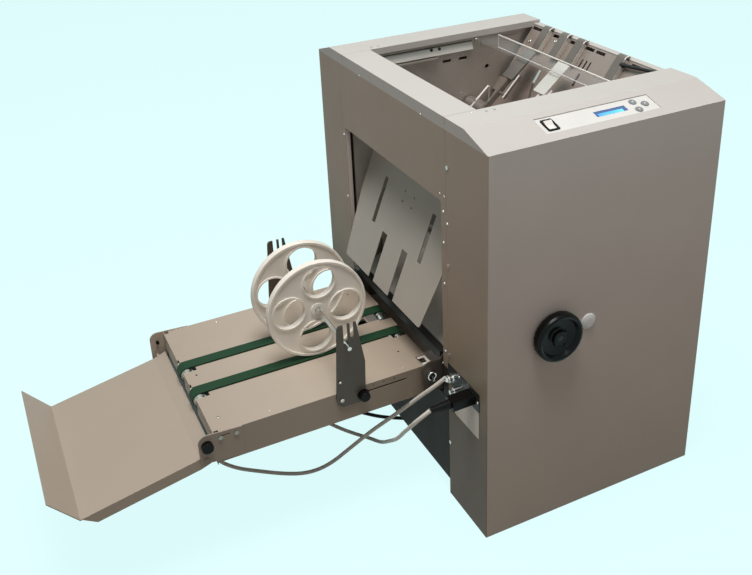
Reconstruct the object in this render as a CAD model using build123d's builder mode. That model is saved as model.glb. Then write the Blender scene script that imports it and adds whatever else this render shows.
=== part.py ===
"""Booklet folding machine: cabinet, chute, belt conveyor with press wheels and catch tray.

Millimetres. +X runs from the delivery side to the infeed side, +Y from the operator side to the far
side, +Z up. The origin is on the floor under the middle of the cabinet.
"""
import math
import os

from build123d import *

os.makedirs("parts", exist_ok=True)

# ---- driving dimensions ------------------------------------------------------------------------
WIDE = 432.0            # cabinet, delivery side to infeed side
DEEP = 618.0            # cabinet, operator side to far side
TOP = 719.0             # flat top
FRONT_TOP = 700.0       # upper edge of the operator face
SLOPE_RUN = 67.0        # depth of the sloped strip over the operator face
FAR_SLOPE_Y = 562.0     # where the far strip starts to slope
FAR_TOP = 702.0         # upper edge of the far face
SKIN = 1.5              # cabinet sheet
COVER_Z0 = 1.0          # lower edge of the two covers
SEAM_Y = 122.0          # edge of the operator cover's return flange
FAR_SEAM_Y = 520.6      # edge of the far cover's return flange
OPEN_X0, OPEN_X1 = 57.0, 418.0      # top opening
OPEN_Y0, OPEN_Y1 = 126.0, 504.0
INFEED_TOP = 713.0
PANEL_Z0 = 33.0         # lower edge of the outlet and infeed panels
WINDOW = (139.0, 508.0, 205.0, 575.0)   # y0, y1, z0, z1
FRAME_T = 4.0
FRAME_NEAR_Y = 124.5
FRAME_FAR_Y = 514.0

TABLE_TOP = 259.0       # conveyor deck
TABLE_X0, TABLE_X1 = -398.0, -8.0
TABLE_Y0, TABLE_Y1 = 162.0, 486.0
TABLE_DROP = 57.0       # skirt height
SKIRT_X1 = -27.0
TRAY_Y0, TRAY_Y1 = 164.5, 474.0
BELT_Y = (284.0, 364.0)
BELT_W = 22.0
BELT_T = 1.5
ROLLER_R = 12.0
DRIVE_X, IDLE_X = -19.0, -389.0
ROLLER_Z = TABLE_TOP - ROLLER_R
WHEEL_R = 90.5
WHEEL_T = 12.0
WHEEL_X = -167.0
WHEEL_Z = TABLE_TOP + BELT_T + 0.3 + WHEEL_R
AXLE_R = 3.5
FORK_NEAR_Y = 158.0     # outer face of the near wheel bracket
FORK_FAR_Y = 490.0
BRACKET_T = 3.0

WHEEL_KNOB = (121.5, 372.5)         # handwheel centre, x and z
CAP = (188.5, 372.5)
CORD_R = 3.5

LOWER_TOP = 268.0       # seam between the dark lower panel and the painted one
FOOT_Y = (60.0, 309.0, 558.0)
PLUG_Y, PLUG_Z = 45.0, 264.0
SOCKET_Y, SOCKET_Z = 102.0, 264.0
COIL_X, COIL_Y, COIL_R = -200.0, 545.0, 40.0


def P(x, y, z):
    """Point given from the cabinet's near delivery corner."""
    return (x - WIDE / 2, y - DEEP / 2, z)


def block(x0, x1, y0, y1, z0, z1, mode=Mode.ADD):
    with Locations(P((x0 + x1) / 2, (y0 + y1) / 2, (z0 + z1) / 2)):
        Box(x1 - x0, y1 - y0, z1 - z0, mode=mode)


def rod_x(y, z, r, x0, x1, mode=Mode.ADD):
    with Locations(P((x0 + x1) / 2, y, z)):
        Cylinder(r, x1 - x0, rotation=(0, 90, 0), mode=mode)


def rod_y(x, z, r, y0, y1, mode=Mode.ADD):
    with Locations(P(x, (y0 + y1) / 2, z)):
        Cylinder(r, y1 - y0, rotation=(90, 0, 0), mode=mode)


def rod_z(x, y, r, z0, z1, mode=Mode.ADD):
    with Locations(P(x, y, (z0 + z1) / 2)):
        Cylinder(r, z1 - z0, mode=mode)


def plate_xz(points, y0, y1, mode=Mode.ADD):
    """Outline in X and Z, thick from y0 to y1."""
    with BuildSketch(Plane(origin=P(0, y0, 0), x_dir=(1, 0, 0), z_dir=(0, -1, 0))) as outline:
        with BuildLine():
            Polyline(*points, close=True)
        make_face()
    extrude(outline.sketch, amount=-(y1 - y0), mode=mode)


def plate_yz(points, x0, x1, mode=Mode.ADD):
    """Outline in Y and Z, thick from x0 to x1."""
    with BuildSketch(Plane(origin=P(x0, 0, 0), x_dir=(0, 1, 0), z_dir=(1, 0, 0))) as outline:
        with BuildLine():
            Polyline(*points, close=True)
        make_face()
    extrude(outline.sketch, amount=x1 - x0, mode=mode)


def ribbon(points, thick):
    """Closed outline of a sheet that follows the points; thickness to the right of travel."""
    n = len(points)
    normals = []
    for i in range(n - 1):
        dx = points[i + 1][0] - points[i][0]
        dz = points[i + 1][1] - points[i][1]
        size = math.hypot(dx, dz)
        normals.append((dz / size, -dx / size))
    inner = []
    for i in range(n):
        a = normals[max(i - 1, 0)]
        b = normals[min(i, n - 2)]
        k = thick / (1 + a[0] * b[0] + a[1] * b[1])
        inner.append((points[i][0] + k * (a[0] + b[0]), points[i][1] + k * (a[1] + b[1])))
    return list(points) + inner[::-1]


# Slanted paper path: s runs down the infeed plate, v stands up from it.
PATH_S = (-0.6, -0.8)
PATH_V = (-0.8, 0.6)
PATH_O = (418.0, 711.0)


def slant(s, v):
    return (PATH_O[0] + PATH_S[0] * s + PATH_V[0] * v, PATH_O[1] + PATH_S[1] * s + PATH_V[1] * v)


def slab(s0, s1, v0, v1, y0, y1, mode=Mode.ADD):
    plate_xz([slant(s0, v0), slant(s1, v0), slant(s1, v1), slant(s0, v1)], y0, y1, mode=mode)


# ---- cabinet -----------------------------------------------------------------------------------
with BuildPart() as base_plate:
    block(14, 418, 20, 598, 8, 11)
    block(14, 17, 20, 598, 11, 30)
    block(415, 418, 20, 598, 11, 30)
    block(17, 415, 20, 23, 11, 30)
    block(17, 415, 595, 598, 11, 30)
base_plate.part.label = "base_plate"
export_step(base_plate.part, "parts/base_plate.step")

with BuildPart() as rubber_feet:
    for fy in FOOT_Y:
        block(46, 386, fy - 15, fy + 15, 0, 8)
rubber_feet.part.label = "rubber_feet"
export_step(rubber_feet.part, "parts/rubber_feet.step")

NEAR_EDGE = [(14, COVER_Z0), (0, COVER_Z0), (0, FRONT_TOP), (SLOPE_RUN, TOP), (OPEN_Y0, TOP), (OPEN_Y0, TOP - 12)]
NEAR_SIDE = [(0, COVER_Z0), (0, FRONT_TOP), (SLOPE_RUN, TOP), (SEAM_Y, TOP), (SEAM_Y, COVER_Z0)]
SLOPE = math.degrees(math.atan2(TOP - FRONT_TOP, SLOPE_RUN))
FASCIA_X, FASCIA_Y = 214.5, 35.5
FASCIA_W, FASCIA_H = 209.0, 38.5
FASCIA_PLANE = Plane(
    origin=P(FASCIA_X, FASCIA_Y, FRONT_TOP + FASCIA_Y * (TOP - FRONT_TOP) / SLOPE_RUN),
    x_dir=(1, 0, 0),
    z_dir=(0, -math.sin(math.radians(SLOPE)), math.cos(math.radians(SLOPE))),
)

with BuildPart() as operator_cover:
    plate_yz(ribbon(NEAR_EDGE, SKIN), 0, WIDE)
    plate_yz(NEAR_SIDE, 0, SKIN)
    plate_yz(NEAR_SIDE, WIDE - SKIN, WIDE)
    block(SKIN, 14, SEAM_Y - SKIN, SEAM_Y, COVER_Z0, 32)
    with BuildSketch(FASCIA_PLANE):
        RectangleRounded(FASCIA_W, FASCIA_H, 1.5)
    extrude(amount=-6, both=True, mode=Mode.SUBTRACT)
    rod_y(WHEEL_KNOB[0], WHEEL_KNOB[1], 8.0, -2, 4, mode=Mode.SUBTRACT)
    rod_y(CAP[0], CAP[1], 11.0, -2, 4, mode=Mode.SUBTRACT)
    block(-1, 3, 52, 116, 250, 277, mode=Mode.SUBTRACT)
    corner = operator_cover.edges().filter_by(Axis.Z).filter_by(
        lambda e: abs(e.center().Y + DEEP / 2) < 0.01 and abs(abs(e.center().X) - WIDE / 2) < 0.01)
    fillet(corner, 1.2)
operator_cover.part.label = "operator_cover"
export_step(operator_cover.part, "parts/operator_cover.step")

FAR_EDGE = [(DEEP - 14, COVER_Z0), (DEEP, COVER_Z0), (DEEP, FAR_TOP), (FAR_SLOPE_Y, TOP), (OPEN_Y1, TOP),
            (OPEN_Y1, TOP - 12)]
FAR_SIDE = [(DEEP, COVER_Z0), (DEEP, FAR_TOP), (FAR_SLOPE_Y, TOP), (FAR_SEAM_Y, TOP),
            (FAR_SEAM_Y, COVER_Z0)]

with BuildPart() as far_cover:
    plate_yz(ribbon(FAR_EDGE, -SKIN), 0, WIDE)
    plate_yz(FAR_SIDE, 0, SKIN)
    plate_yz(FAR_SIDE, WIDE - SKIN, WIDE)
    corner = far_cover.edges().filter_by(Axis.Z).filter_by(
        lambda e: abs(e.center().Y - DEEP / 2) < 0.01 and abs(abs(e.center().X) - WIDE / 2) < 0.01)
    fillet(corner, 1.2)
far_cover.part.label = "far_cover"
export_step(far_cover.part, "parts/far_cover.step")

def window_frame(z0, z1):
    """Sheet round the delivery window with its side returns, from one height to another."""
    y0, y1 = SEAM_Y + 0.6, FAR_SEAM_Y - 0.6
    block(0, SKIN, y0, y1, z0, z1)
    block(0, 12, y0, y0 + SKIN, z0, z1)
    block(0, 12, y1 - SKIN, y1, z0, z1)
    rim0, rim1 = max(z0, WINDOW[2] - SKIN), min(z1, WINDOW[3] + SKIN)
    block(0, 9, WINDOW[0] - SKIN, WINDOW[1] + SKIN, rim0, rim1)
    block(-1, 13, *WINDOW, mode=Mode.SUBTRACT)


with BuildPart() as outlet_panel:
    window_frame(LOWER_TOP, TOP - 16)
    block(0, SKIN, SEAM_Y + 0.6, FAR_SEAM_Y - 0.6, TOP - 16, TOP - 12.5)
    block(0, SKIN, SEAM_Y + 0.6, OPEN_Y0 - 1.8, TOP - 13, TOP - 1.8)
    block(0, SKIN, OPEN_Y1 + 1.8, FAR_SEAM_Y - 0.6, TOP - 13, TOP - 1.8)
    block(0, SKIN, OPEN_Y0 + 0.6, OPEN_Y1 - 0.6, TOP - 13, TOP)
    block(0, OPEN_X0, OPEN_Y0 + 0.6, OPEN_Y1 - 0.6, TOP - SKIN, TOP)
    block(OPEN_X0 - SKIN, OPEN_X0, OPEN_Y0 + 0.6, OPEN_Y1 - 0.6, TOP - 12, TOP)
outlet_panel.part.label = "outlet_panel"
export_step(outlet_panel.part, "parts/outlet_panel.step")

with BuildPart() as lower_panel:
    window_frame(PANEL_Z0, LOWER_TOP - 0.4)
    block(0, 10, SEAM_Y + 0.6, FAR_SEAM_Y - 0.6, PANEL_Z0, PANEL_Z0 + SKIN)
lower_panel.part.label = "lower_panel"
export_step(lower_panel.part, "parts/lower_panel.step")

VENTS, VENT_Y0, VENT_PITCH, VENT_W = 9, 221.0, 22.0, 12.0
VENT_Z = (150.0, 210.0)

with BuildPart() as infeed_panel:
    block(WIDE - SKIN, WIDE, SEAM_Y + 0.6, FAR_SEAM_Y - 0.6, PANEL_Z0, TOP - 12.5)
    block(WIDE - SKIN, WIDE, SEAM_Y + 0.6, OPEN_Y0 - 1.8, TOP - 13, TOP - 1.8)
    block(WIDE - SKIN, WIDE, OPEN_Y1 + 1.8, FAR_SEAM_Y - 0.6, TOP - 13, TOP - 1.8)
    block(WIDE - SKIN, WIDE, OPEN_Y0 + 0.6, OPEN_Y1 - 0.6, TOP - 13, INFEED_TOP)
    block(OPEN_X1, WIDE, OPEN_Y0 + 0.6, OPEN_Y1 - 0.6, INFEED_TOP - SKIN, INFEED_TOP)
    block(WIDE - 10, WIDE, SEAM_Y + 0.6, FAR_SEAM_Y - 0.6, PANEL_Z0, PANEL_Z0 + SKIN)
    for slot in range(VENTS):
        y0 = VENT_Y0 + VENT_PITCH * slot
        block(WIDE - 4, WIDE + 4, y0, y0 + VENT_W, *VENT_Z, mode=Mode.SUBTRACT)
infeed_panel.part.label = "infeed_panel"
export_step(infeed_panel.part, "parts/infeed_panel.step")

FRAME_OUTLINE = [(17.5, 11), (414.5, 11), (414.5, 640), (392, 704), (60, 704), (17.5, 660)]
ROLLER_SV = ((198.3, 30.0), (231.7, 30.0))
FOLD_R = 16.0
HINGE_X, HINGE_Z = 290.0, 700.0

with BuildPart() as frame_near:
    plate_xz(FRAME_OUTLINE, FRAME_NEAR_Y, FRAME_NEAR_Y + FRAME_T)
    y0, y1 = FRAME_NEAR_Y - 1, FRAME_NEAR_Y + FRAME_T + 1
    for sv in ROLLER_SV:
        rod_y(*slant(*sv), 6.05, y0, y1, mode=Mode.SUBTRACT)
    rod_y(WHEEL_KNOB[0], WHEEL_KNOB[1], 6.05, y0, y1, mode=Mode.SUBTRACT)
    rod_y(HINGE_X, HINGE_Z, 3.05, y0, y1, mode=Mode.SUBTRACT)
frame_near.part.label = "frame_near"
export_step(frame_near.part, "parts/frame_near.step")

with BuildPart() as frame_far:
    plate_xz(FRAME_OUTLINE, FRAME_FAR_Y, FRAME_FAR_Y + FRAME_T)
    y0, y1 = FRAME_FAR_Y - 1, FRAME_FAR_Y + FRAME_T + 1
    for sv in ROLLER_SV:
        rod_y(*slant(*sv), 6.05, y0, y1, mode=Mode.SUBTRACT)
    rod_y(HINGE_X, HINGE_Z, 3.05, y0, y1, mode=Mode.SUBTRACT)
    for hx, hz in ((190, 692.5), (207.5, 692.5)):
        rod_y(hx, hz, 3.4, y0, y1, mode=Mode.SUBTRACT)
    for hx in (224.7, 260.6):
        block(hx - 9, hx + 9, y0, y1, 663, 668.5, mode=Mode.SUBTRACT)
    rod_y(315.6, 639.7, 4.6, y0, y1, mode=Mode.SUBTRACT)
frame_far.part.label = "frame_far"
export_step(frame_far.part, "parts/frame_far.step")

CHUTE_LOW = (-28.0, 329.0)
CHUTE_LEAN = math.radians(21.5)
CHUTE_DIR = (math.sin(CHUTE_LEAN), math.cos(CHUTE_LEAN))
CHUTE_LEN = 285.0


def on_chute(part):
    """Point on the back of the chute plate, part of the way up."""
    return (CHUTE_LOW[0] + part * CHUTE_LEN * CHUTE_DIR[0] + 1.7, CHUTE_LOW[1] + part * CHUTE_LEN * CHUTE_DIR[1])


with BuildPart() as tie_bars:
    y0, y1 = FRAME_NEAR_Y + FRAME_T, FRAME_FAR_Y
    low, high = on_chute(0.62), on_chute(0.95)
    for arm0, arm1, tab0, tab1 in ((y0, 200.0, 170.0, 200.0), (448.0, y1, 448.0, 478.0)):
        plate_xz([low, (low[0] + 3, low[1]), (high[0] + 3, high[1]), high], tab0, tab1)
        block(high[0] + 0.5, high[0] + 3.5, arm0, arm1, high[1] - 24, high[1])
    for tx, tz in ((40, 60), (390, 60), (392, 420), (300, 240), (62, 440)):
        rod_y(tx, tz, 8, y0, y1)
    block(20, 200, FRAME_FAR_Y - 9, FRAME_FAR_Y, 676, 679)
tie_bars.part.label = "tie_bars"
export_step(tie_bars.part, "parts/tie_bars.step")

# Hinge brackets: an arm out of the window with a rounded nose over the conveyor's pivot.
NOSE_Z, NOSE_R = 255.5, 16.0

with BuildPart() as outlet_brackets:
    for y0 in (150.0, 495.0):
        with BuildSketch(Plane(origin=P(0, y0, 0), x_dir=(1, 0, 0), z_dir=(0, -1, 0))):
            with BuildLine():
                arm = Polyline((DRIVE_X - NOSE_R, NOSE_Z), (-31, 214), (20, 206), (60, 206), (60, 330), (22, 330),
                               (13, 286), (0, NOSE_Z + NOSE_R), (DRIVE_X, NOSE_Z + NOSE_R))
                RadiusArc(arm @ 1, arm @ 0, -NOSE_R)
            make_face()
        extrude(amount=-3)
        rod_y(DRIVE_X, ROLLER_Z, 6.05, y0 - 1, y0 + 4, mode=Mode.SUBTRACT)
    block(20, 60, 128.5, 150, 210, 213)
    block(20, 60, 498, 514, 210, 213)
    for by, b0, b1 in ((150.0, 147.0, 150.0), (495.0, 498.0, 501.0)):
        for bx, bz in ((34, 300), (34, 318)):
            rod_y(bx, bz, 3.6, b0, b1)
outlet_brackets.part.label = "outlet_brackets"
export_step(outlet_brackets.part, "parts/outlet_brackets.step")

with BuildPart() as outlet_bar:
    plate_xz(ribbon([(0.5, 268), (0.5, 284), (14, 284), (14, 268)], 2.0), 153.0, 495.0)
    block(2.5, 12, 153, 155, 262, 282)
    block(2.5, 12, 493, 495, 262, 282)
outlet_bar.part.label = "outlet_bar"
export_step(outlet_bar.part, "parts/outlet_bar.step")

with BuildPart() as lower_guide:
    plate_xz(ribbon([(14.6, 281), (14.6, 286), (120, 322), (135, 350)], 1.5), 154.0, 494.0)
lower_guide.part.label = "lower_guide"
export_step(lower_guide.part, "parts/lower_guide.step")

# Slotted chute plate, leaning back into the cabinet.
CHUTE_PLANE = Plane(
    origin=P(CHUTE_LOW[0], 324.0, CHUTE_LOW[1]),
    x_dir=(0, 1, 0),
    z_dir=(CHUTE_DIR[1], 0, -CHUTE_DIR[0]),
)


def chute_plate_corners(points):
    """The two lower corners of the chute outline."""
    return points.sort_by(Axis.Z)[:2]


with BuildPart() as chute_plate:
    with BuildSketch(CHUTE_PLANE):
        with BuildLine():
            Polyline((-151, 0), (151, 0), (168.5, 130), (169.5, CHUTE_LEN), (-169.5, CHUTE_LEN), (-168.5, 130),
                     close=True)
        make_face()
        low_corners = chute_plate_corners(vertices())
        fillet(low_corners, 6)
        for sy in (-40, 40):
            with Locations((sy, 42)):
                Rectangle(20, 101, mode=Mode.SUBTRACT)
        with Locations((91, 138.5), (-91, 138.5)):
            Rectangle(12.5, 91, mode=Mode.SUBTRACT)
        with Locations((-17, 165), (17, 165), (-17, 184), (17, 184)):
            Circle(2.2, mode=Mode.SUBTRACT)
    extrude(amount=1.5)
chute_plate.part.label = "chute_plate"
export_step(chute_plate.part, "parts/chute_plate.step")

with BuildPart() as infeed_plate:
    slab(0, 330, -1.5, 0, 130, 503.4)
    for sy0, sy1 in ((178, 203), (275, 300), (306, 332), (350, 378), (407, 432), (466, 500)):
        slab(3, 9, -3, 2, sy0, sy1, mode=Mode.SUBTRACT)
    for sy in (297, 308.5, 320):
        slab(28, 47, -3, 2, sy - 2, sy + 2, mode=Mode.SUBTRACT)
    slab(55, 80, -3, 2, 305, 311, mode=Mode.SUBTRACT)
    slab(211, 219, -3, 2, 150, 490, mode=Mode.SUBTRACT)
    for sy in (220, 320, 420):
        slab(284, 326, -3, 2, sy - 5, sy + 5, mode=Mode.SUBTRACT)
    slab(120, 150, -14, -1.5, FRAME_NEAR_Y + FRAME_T, 140)
    slab(120, 150, -14, -1.5, 500, FRAME_FAR_Y)
infeed_plate.part.label = "infeed_plate"
export_step(infeed_plate.part, "parts/infeed_plate.step")

ARM_W = 21.0
ARM_SV = [(48, 0), (48, 10.5), (1, 10.5), (-3.5, 8.5), (-6, 5), (-7, 1), (-5, 0), (-2.5, 2.5), (2, 2.5), (4, 0)]

with BuildPart() as infeed_arms:
    for ay in (225.0, 341.5, 391.0, 448.0):
        plate_xz([slant(*sv) for sv in ARM_SV], ay - ARM_W / 2, ay + ARM_W / 2)
infeed_arms.part.label = "infeed_arms"
export_step(infeed_arms.part, "parts/infeed_arms.step")

HEAD_Y = (320.0, 425.0)
CHEEK = [(205, 555), (215, 545), (365, 680), (361, 685), (307, 640)]
HEAD_FACE = [(307, 640), (361, 685), (358.4, 688), (304.4, 643)]
HEAD_ROD = [(284, 610), (320, 648), (317, 651), (281, 613)]

with BuildPart() as stitch_unit:
    slab(258, 276, 64, 86, FRAME_NEAR_Y + FRAME_T, FRAME_FAR_Y)
    for hy in HEAD_Y:
        slab(252, 288, 20, 96, hy - 18, hy + 18)
        slab(256, 284, 12, 20, hy - 9, hy + 9)
        rod_y(*slant(262, 118), 24, hy - 9, hy + 9)
        rod_y(*slant(262, 118), 8, hy - 14, hy + 14)
        plate_xz(CHEEK, hy - 3, hy + 3)
        plate_xz(HEAD_FACE, hy - 17, hy + 17)
        plate_xz(HEAD_ROD, hy - 26, hy - 22)
        rod_y(287, 616, 3, hy - 26, hy)
        rod_y(315, 642, 3, hy - 26, hy)
stitch_unit.part.label = "stitch_unit"
export_step(stitch_unit.part, "parts/stitch_unit.step")

with BuildPart() as format_stop:
    slab(300, 312, -16, -5, 170, 470)
    for sy in (220, 320, 420):
        slab(302, 305, -5, 10, sy - 4, sy + 4)
format_stop.part.label = "format_stop"
export_step(format_stop.part, "parts/format_stop.step")

with BuildPart() as fold_roller_upper:
    rod_y(*slant(*ROLLER_SV[0]), FOLD_R, 132, 510)
    rod_y(*slant(*ROLLER_SV[0]), 6.0, FRAME_NEAR_Y - 3, FRAME_FAR_Y + FRAME_T + 2)
fold_roller_upper.part.label = "fold_roller_upper"
export_step(fold_roller_upper.part, "parts/fold_roller_upper.step")

with BuildPart() as fold_roller_lower:
    rod_y(*slant(*ROLLER_SV[1]), FOLD_R, 132, 510)
    rod_y(*slant(*ROLLER_SV[1]), 6.0, FRAME_NEAR_Y - 3, FRAME_FAR_Y + FRAME_T + 2)
fold_roller_lower.part.label = "fold_roller_lower"
export_step(fold_roller_lower.part, "parts/fold_roller_lower.step")

with BuildPart() as fold_knife:
    slab(214.3, 215.7, -44, -7, 156, 484)
    slab(208, 222, -60, -44, 140, 500)
fold_knife.part.label = "fold_knife"
export_step(fold_knife.part, "parts/fold_knife.step")

with BuildPart() as acrylic_cover:
    plate_xz(ribbon([(285, 703.5), (333.5, 703.5), (333.5, 679)], 3.0), 131, 501)
    rod_y(HINGE_X, HINGE_Z, 3.0, FRAME_NEAR_Y, FRAME_FAR_Y + FRAME_T)
acrylic_cover.part.label = "acrylic_cover"
export_step(acrylic_cover.part, "parts/acrylic_cover.step")

# ---- control fascia ----------------------------------------------------------------------------
BUTTONS = ((71.0, 9.3), (87.7, -0.3), (69.3, -10.2))
LCD_AT = (23.6, 0.4)
SWITCH_AT = (-87.0, 0.2)

with BuildPart() as control_fascia:
    with BuildSketch(FASCIA_PLANE.offset(-1.6)):
        RectangleRounded(FASCIA_W + 6, FASCIA_H + 6, 2)
        with Locations(LCD_AT):
            Rectangle(58, 13, mode=Mode.SUBTRACT)
        with Locations(SWITCH_AT):
            RectangleRounded(17, 23, 1, mode=Mode.SUBTRACT)
        for spot in BUTTONS:
            with Locations(spot):
                Circle(6.6, mode=Mode.SUBTRACT)
    extrude(amount=-1.6)
control_fascia.part.label = "control_fascia"
export_step(control_fascia.part, "parts/control_fascia.step")

with BuildPart() as lcd_window:
    with BuildSketch(FASCIA_PLANE.offset(-2.0)):
        with Locations(LCD_AT):
            Rectangle(57.6, 12.6)
    extrude(amount=-3.0)
lcd_window.part.label = "lcd_window"
export_step(lcd_window.part, "parts/lcd_window.step")

with BuildPart() as switch_bezel:
    with BuildSketch(FASCIA_PLANE.offset(-1.6)):
        with Locations(SWITCH_AT):
            RectangleRounded(20.5, 27, 2)
            RectangleRounded(14.6, 20.6, 1, mode=Mode.SUBTRACT)
    extrude(amount=1.6)
    with BuildSketch(FASCIA_PLANE.offset(-1.6)):
        with Locations(SWITCH_AT):
            RectangleRounded(16.8, 22.8, 1)
            RectangleRounded(14.6, 20.6, 1, mode=Mode.SUBTRACT)
    extrude(amount=-14)
switch_bezel.part.label = "switch_bezel"
export_step(switch_bezel.part, "parts/switch_bezel.step")

ROCKER_PLANE = Plane(FASCIA_PLANE.offset(-3.6).location * Location((SWITCH_AT[0], SWITCH_AT[1], 0)))
with BuildPart() as rocker_switch:
    with BuildSketch(Plane(origin=ROCKER_PLANE.origin - ROCKER_PLANE.x_dir * 6.9, x_dir=ROCKER_PLANE.y_dir,
                           z_dir=ROCKER_PLANE.x_dir)):
        with BuildLine():
            Polyline((-9.68, 2.06), (0, 2.2), (8.0, 5.8), (9.1, 3.8), (9.8, 1.0), (9.5, -2.0), (6, -6), (-6, -6),
                     (-9.5, -2.0), close=True)
        make_face()
    extrude(amount=13.8)
rocker_switch.part.label = "rocker_switch"
export_step(rocker_switch.part, "parts/rocker_switch.step")

for name, spot in (("button_left", BUTTONS[0]), ("button_right", BUTTONS[1]), ("button_lower", BUTTONS[2])):
    with BuildPart() as button:
        with BuildSketch(FASCIA_PLANE.offset(-4.6)):
            with Locations(spot):
                Circle(6.3)
        extrude(amount=4.2)
        rim = button.edges().group_by(Axis.Z)[-1]
        fillet(rim, 0.5)
    button.part.label = name
    export_step(button.part, "parts/" + name + ".step")

with BuildPart() as handwheel:
    with BuildSketch(Plane(origin=P(WHEEL_KNOB[0], 0, WHEEL_KNOB[1]), x_dir=(1, 0, 0), z_dir=(0, 0, 1))):
        with BuildLine():
            Polyline((5.05, -3.0), (38, -3.0), (41.5, -6.0), (42.5, -10.0), (42.5, -18.0), (41.0, -21.5),
                     (38.0, -22.5), (35.0, -21.0), (31.5, -15.5), (16.0, -13.5), (13.5, -15.0), (12.5, -20.0),
                     (11.0, -21.0), (5.05, -21.0), close=True)
        make_face()
    revolve(axis=Axis(P(WHEEL_KNOB[0], 0, WHEEL_KNOB[1]), (0, 1, 0)))
    pointer = Location(P(WHEEL_KNOB[0] + 15, -15.0, WHEEL_KNOB[1] - 22), (0, 55.7, 0))
    with Locations(pointer):
        Box(13, 3.0, 2.6)
handwheel.part.label = "handwheel"
export_step(handwheel.part, "parts/handwheel.step")

with BuildPart() as handwheel_shaft:
    rod_y(WHEEL_KNOB[0], WHEEL_KNOB[1], 5.0, -20.5, 0)
    rod_y(WHEEL_KNOB[0], WHEEL_KNOB[1], 6.0, 0, 134)
    rod_y(WHEEL_KNOB[0], WHEEL_KNOB[1], 16.0, 134, 146)
    rod_y(WHEEL_KNOB[0], WHEEL_KNOB[1], 19.0, 132.5, 134)
    rod_y(WHEEL_KNOB[0], WHEEL_KNOB[1], 19.0, 146, 147.5)
handwheel_shaft.part.label = "handwheel_shaft"
export_step(handwheel_shaft.part, "parts/handwheel_shaft.step")

with BuildPart() as blank_cap:
    with BuildSketch(Plane(origin=P(CAP[0], 0, CAP[1]), x_dir=(1, 0, 0), z_dir=(0, 0, 1))):
        with BuildLine():
            Polyline((0, -4.2), (7, -3.8), (12, -2.2), (14.2, 0), (10.9, 0), (10.9, 6), (0, 6), close=True)
        make_face()
    revolve(axis=Axis(P(CAP[0], 0, CAP[1]), (0, 1, 0)))
blank_cap.part.label = "blank_cap"
export_step(blank_cap.part, "parts/blank_cap.step")

# ---- inlet plate, socket, blank plate, screws --------------------------------------------------
with BuildPart() as inlet_plate:
    block(-1.2, 0, 22, 121.5, 246, 281)
inlet_plate.part.label = "inlet_plate"
export_step(inlet_plate.part, "parts/inlet_plate.step")

with BuildPart() as blank_plate:
    block(-0.6, 0, 24, 101, 192, 245)
blank_plate.part.label = "blank_plate"
export_step(blank_plate.part, "parts/blank_plate.step")

with BuildPart() as cable_socket:
    rod_x(SOCKET_Y, SOCKET_Z, 5.0, -14, -1.2)
    rod_x(SOCKET_Y, SOCKET_Z, 8.0, -4.4, -1.2)
    rod_x(SOCKET_Y, SOCKET_Z, 7.0, -11.5, -8.0)
    rod_y(-13, SOCKET_Z, 4.8, SOCKET_Y, SOCKET_Y + 5)
    rod_x(SOCKET_Y - 12, SOCKET_Z - 16.5, 5.6, -9, -1.2)
    rod_x(SOCKET_Y - 12, SOCKET_Z - 16.5, 3.6, -16, -9)
cable_socket.part.label = "cable_socket"
export_step(cable_socket.part, "parts/cable_socket.step")

SCREWS = ((0, 117, 118), (0, 117, 300), (0, 116, 640), (0, 116, 470))
with BuildPart() as cover_screws:
    for sx, sy, sz in SCREWS:
        rod_x(sy, sz, 3.4, -1.6, 0)
    for sx, sy in ((66, 112), (80, 112), (66, 517), (80, 517)):
        rod_z(sx, sy, 2.6, TOP, TOP + 1.0)
cover_screws.part.label = "cover_screws"
export_step(cover_screws.part, "parts/cover_screws.step")

# ---- conveyor ----------------------------------------------------------------------------------
T = 1.5
END_DROP, TIE_Z = 30.0, 210.0           # flap at the outer end, and the tie under it
GAP_X0, GAP_X1, GAP_X2, GAP_Y = -72.0, -52.0, -30.0, 330.0      # opening beside the far belt's drum

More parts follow.
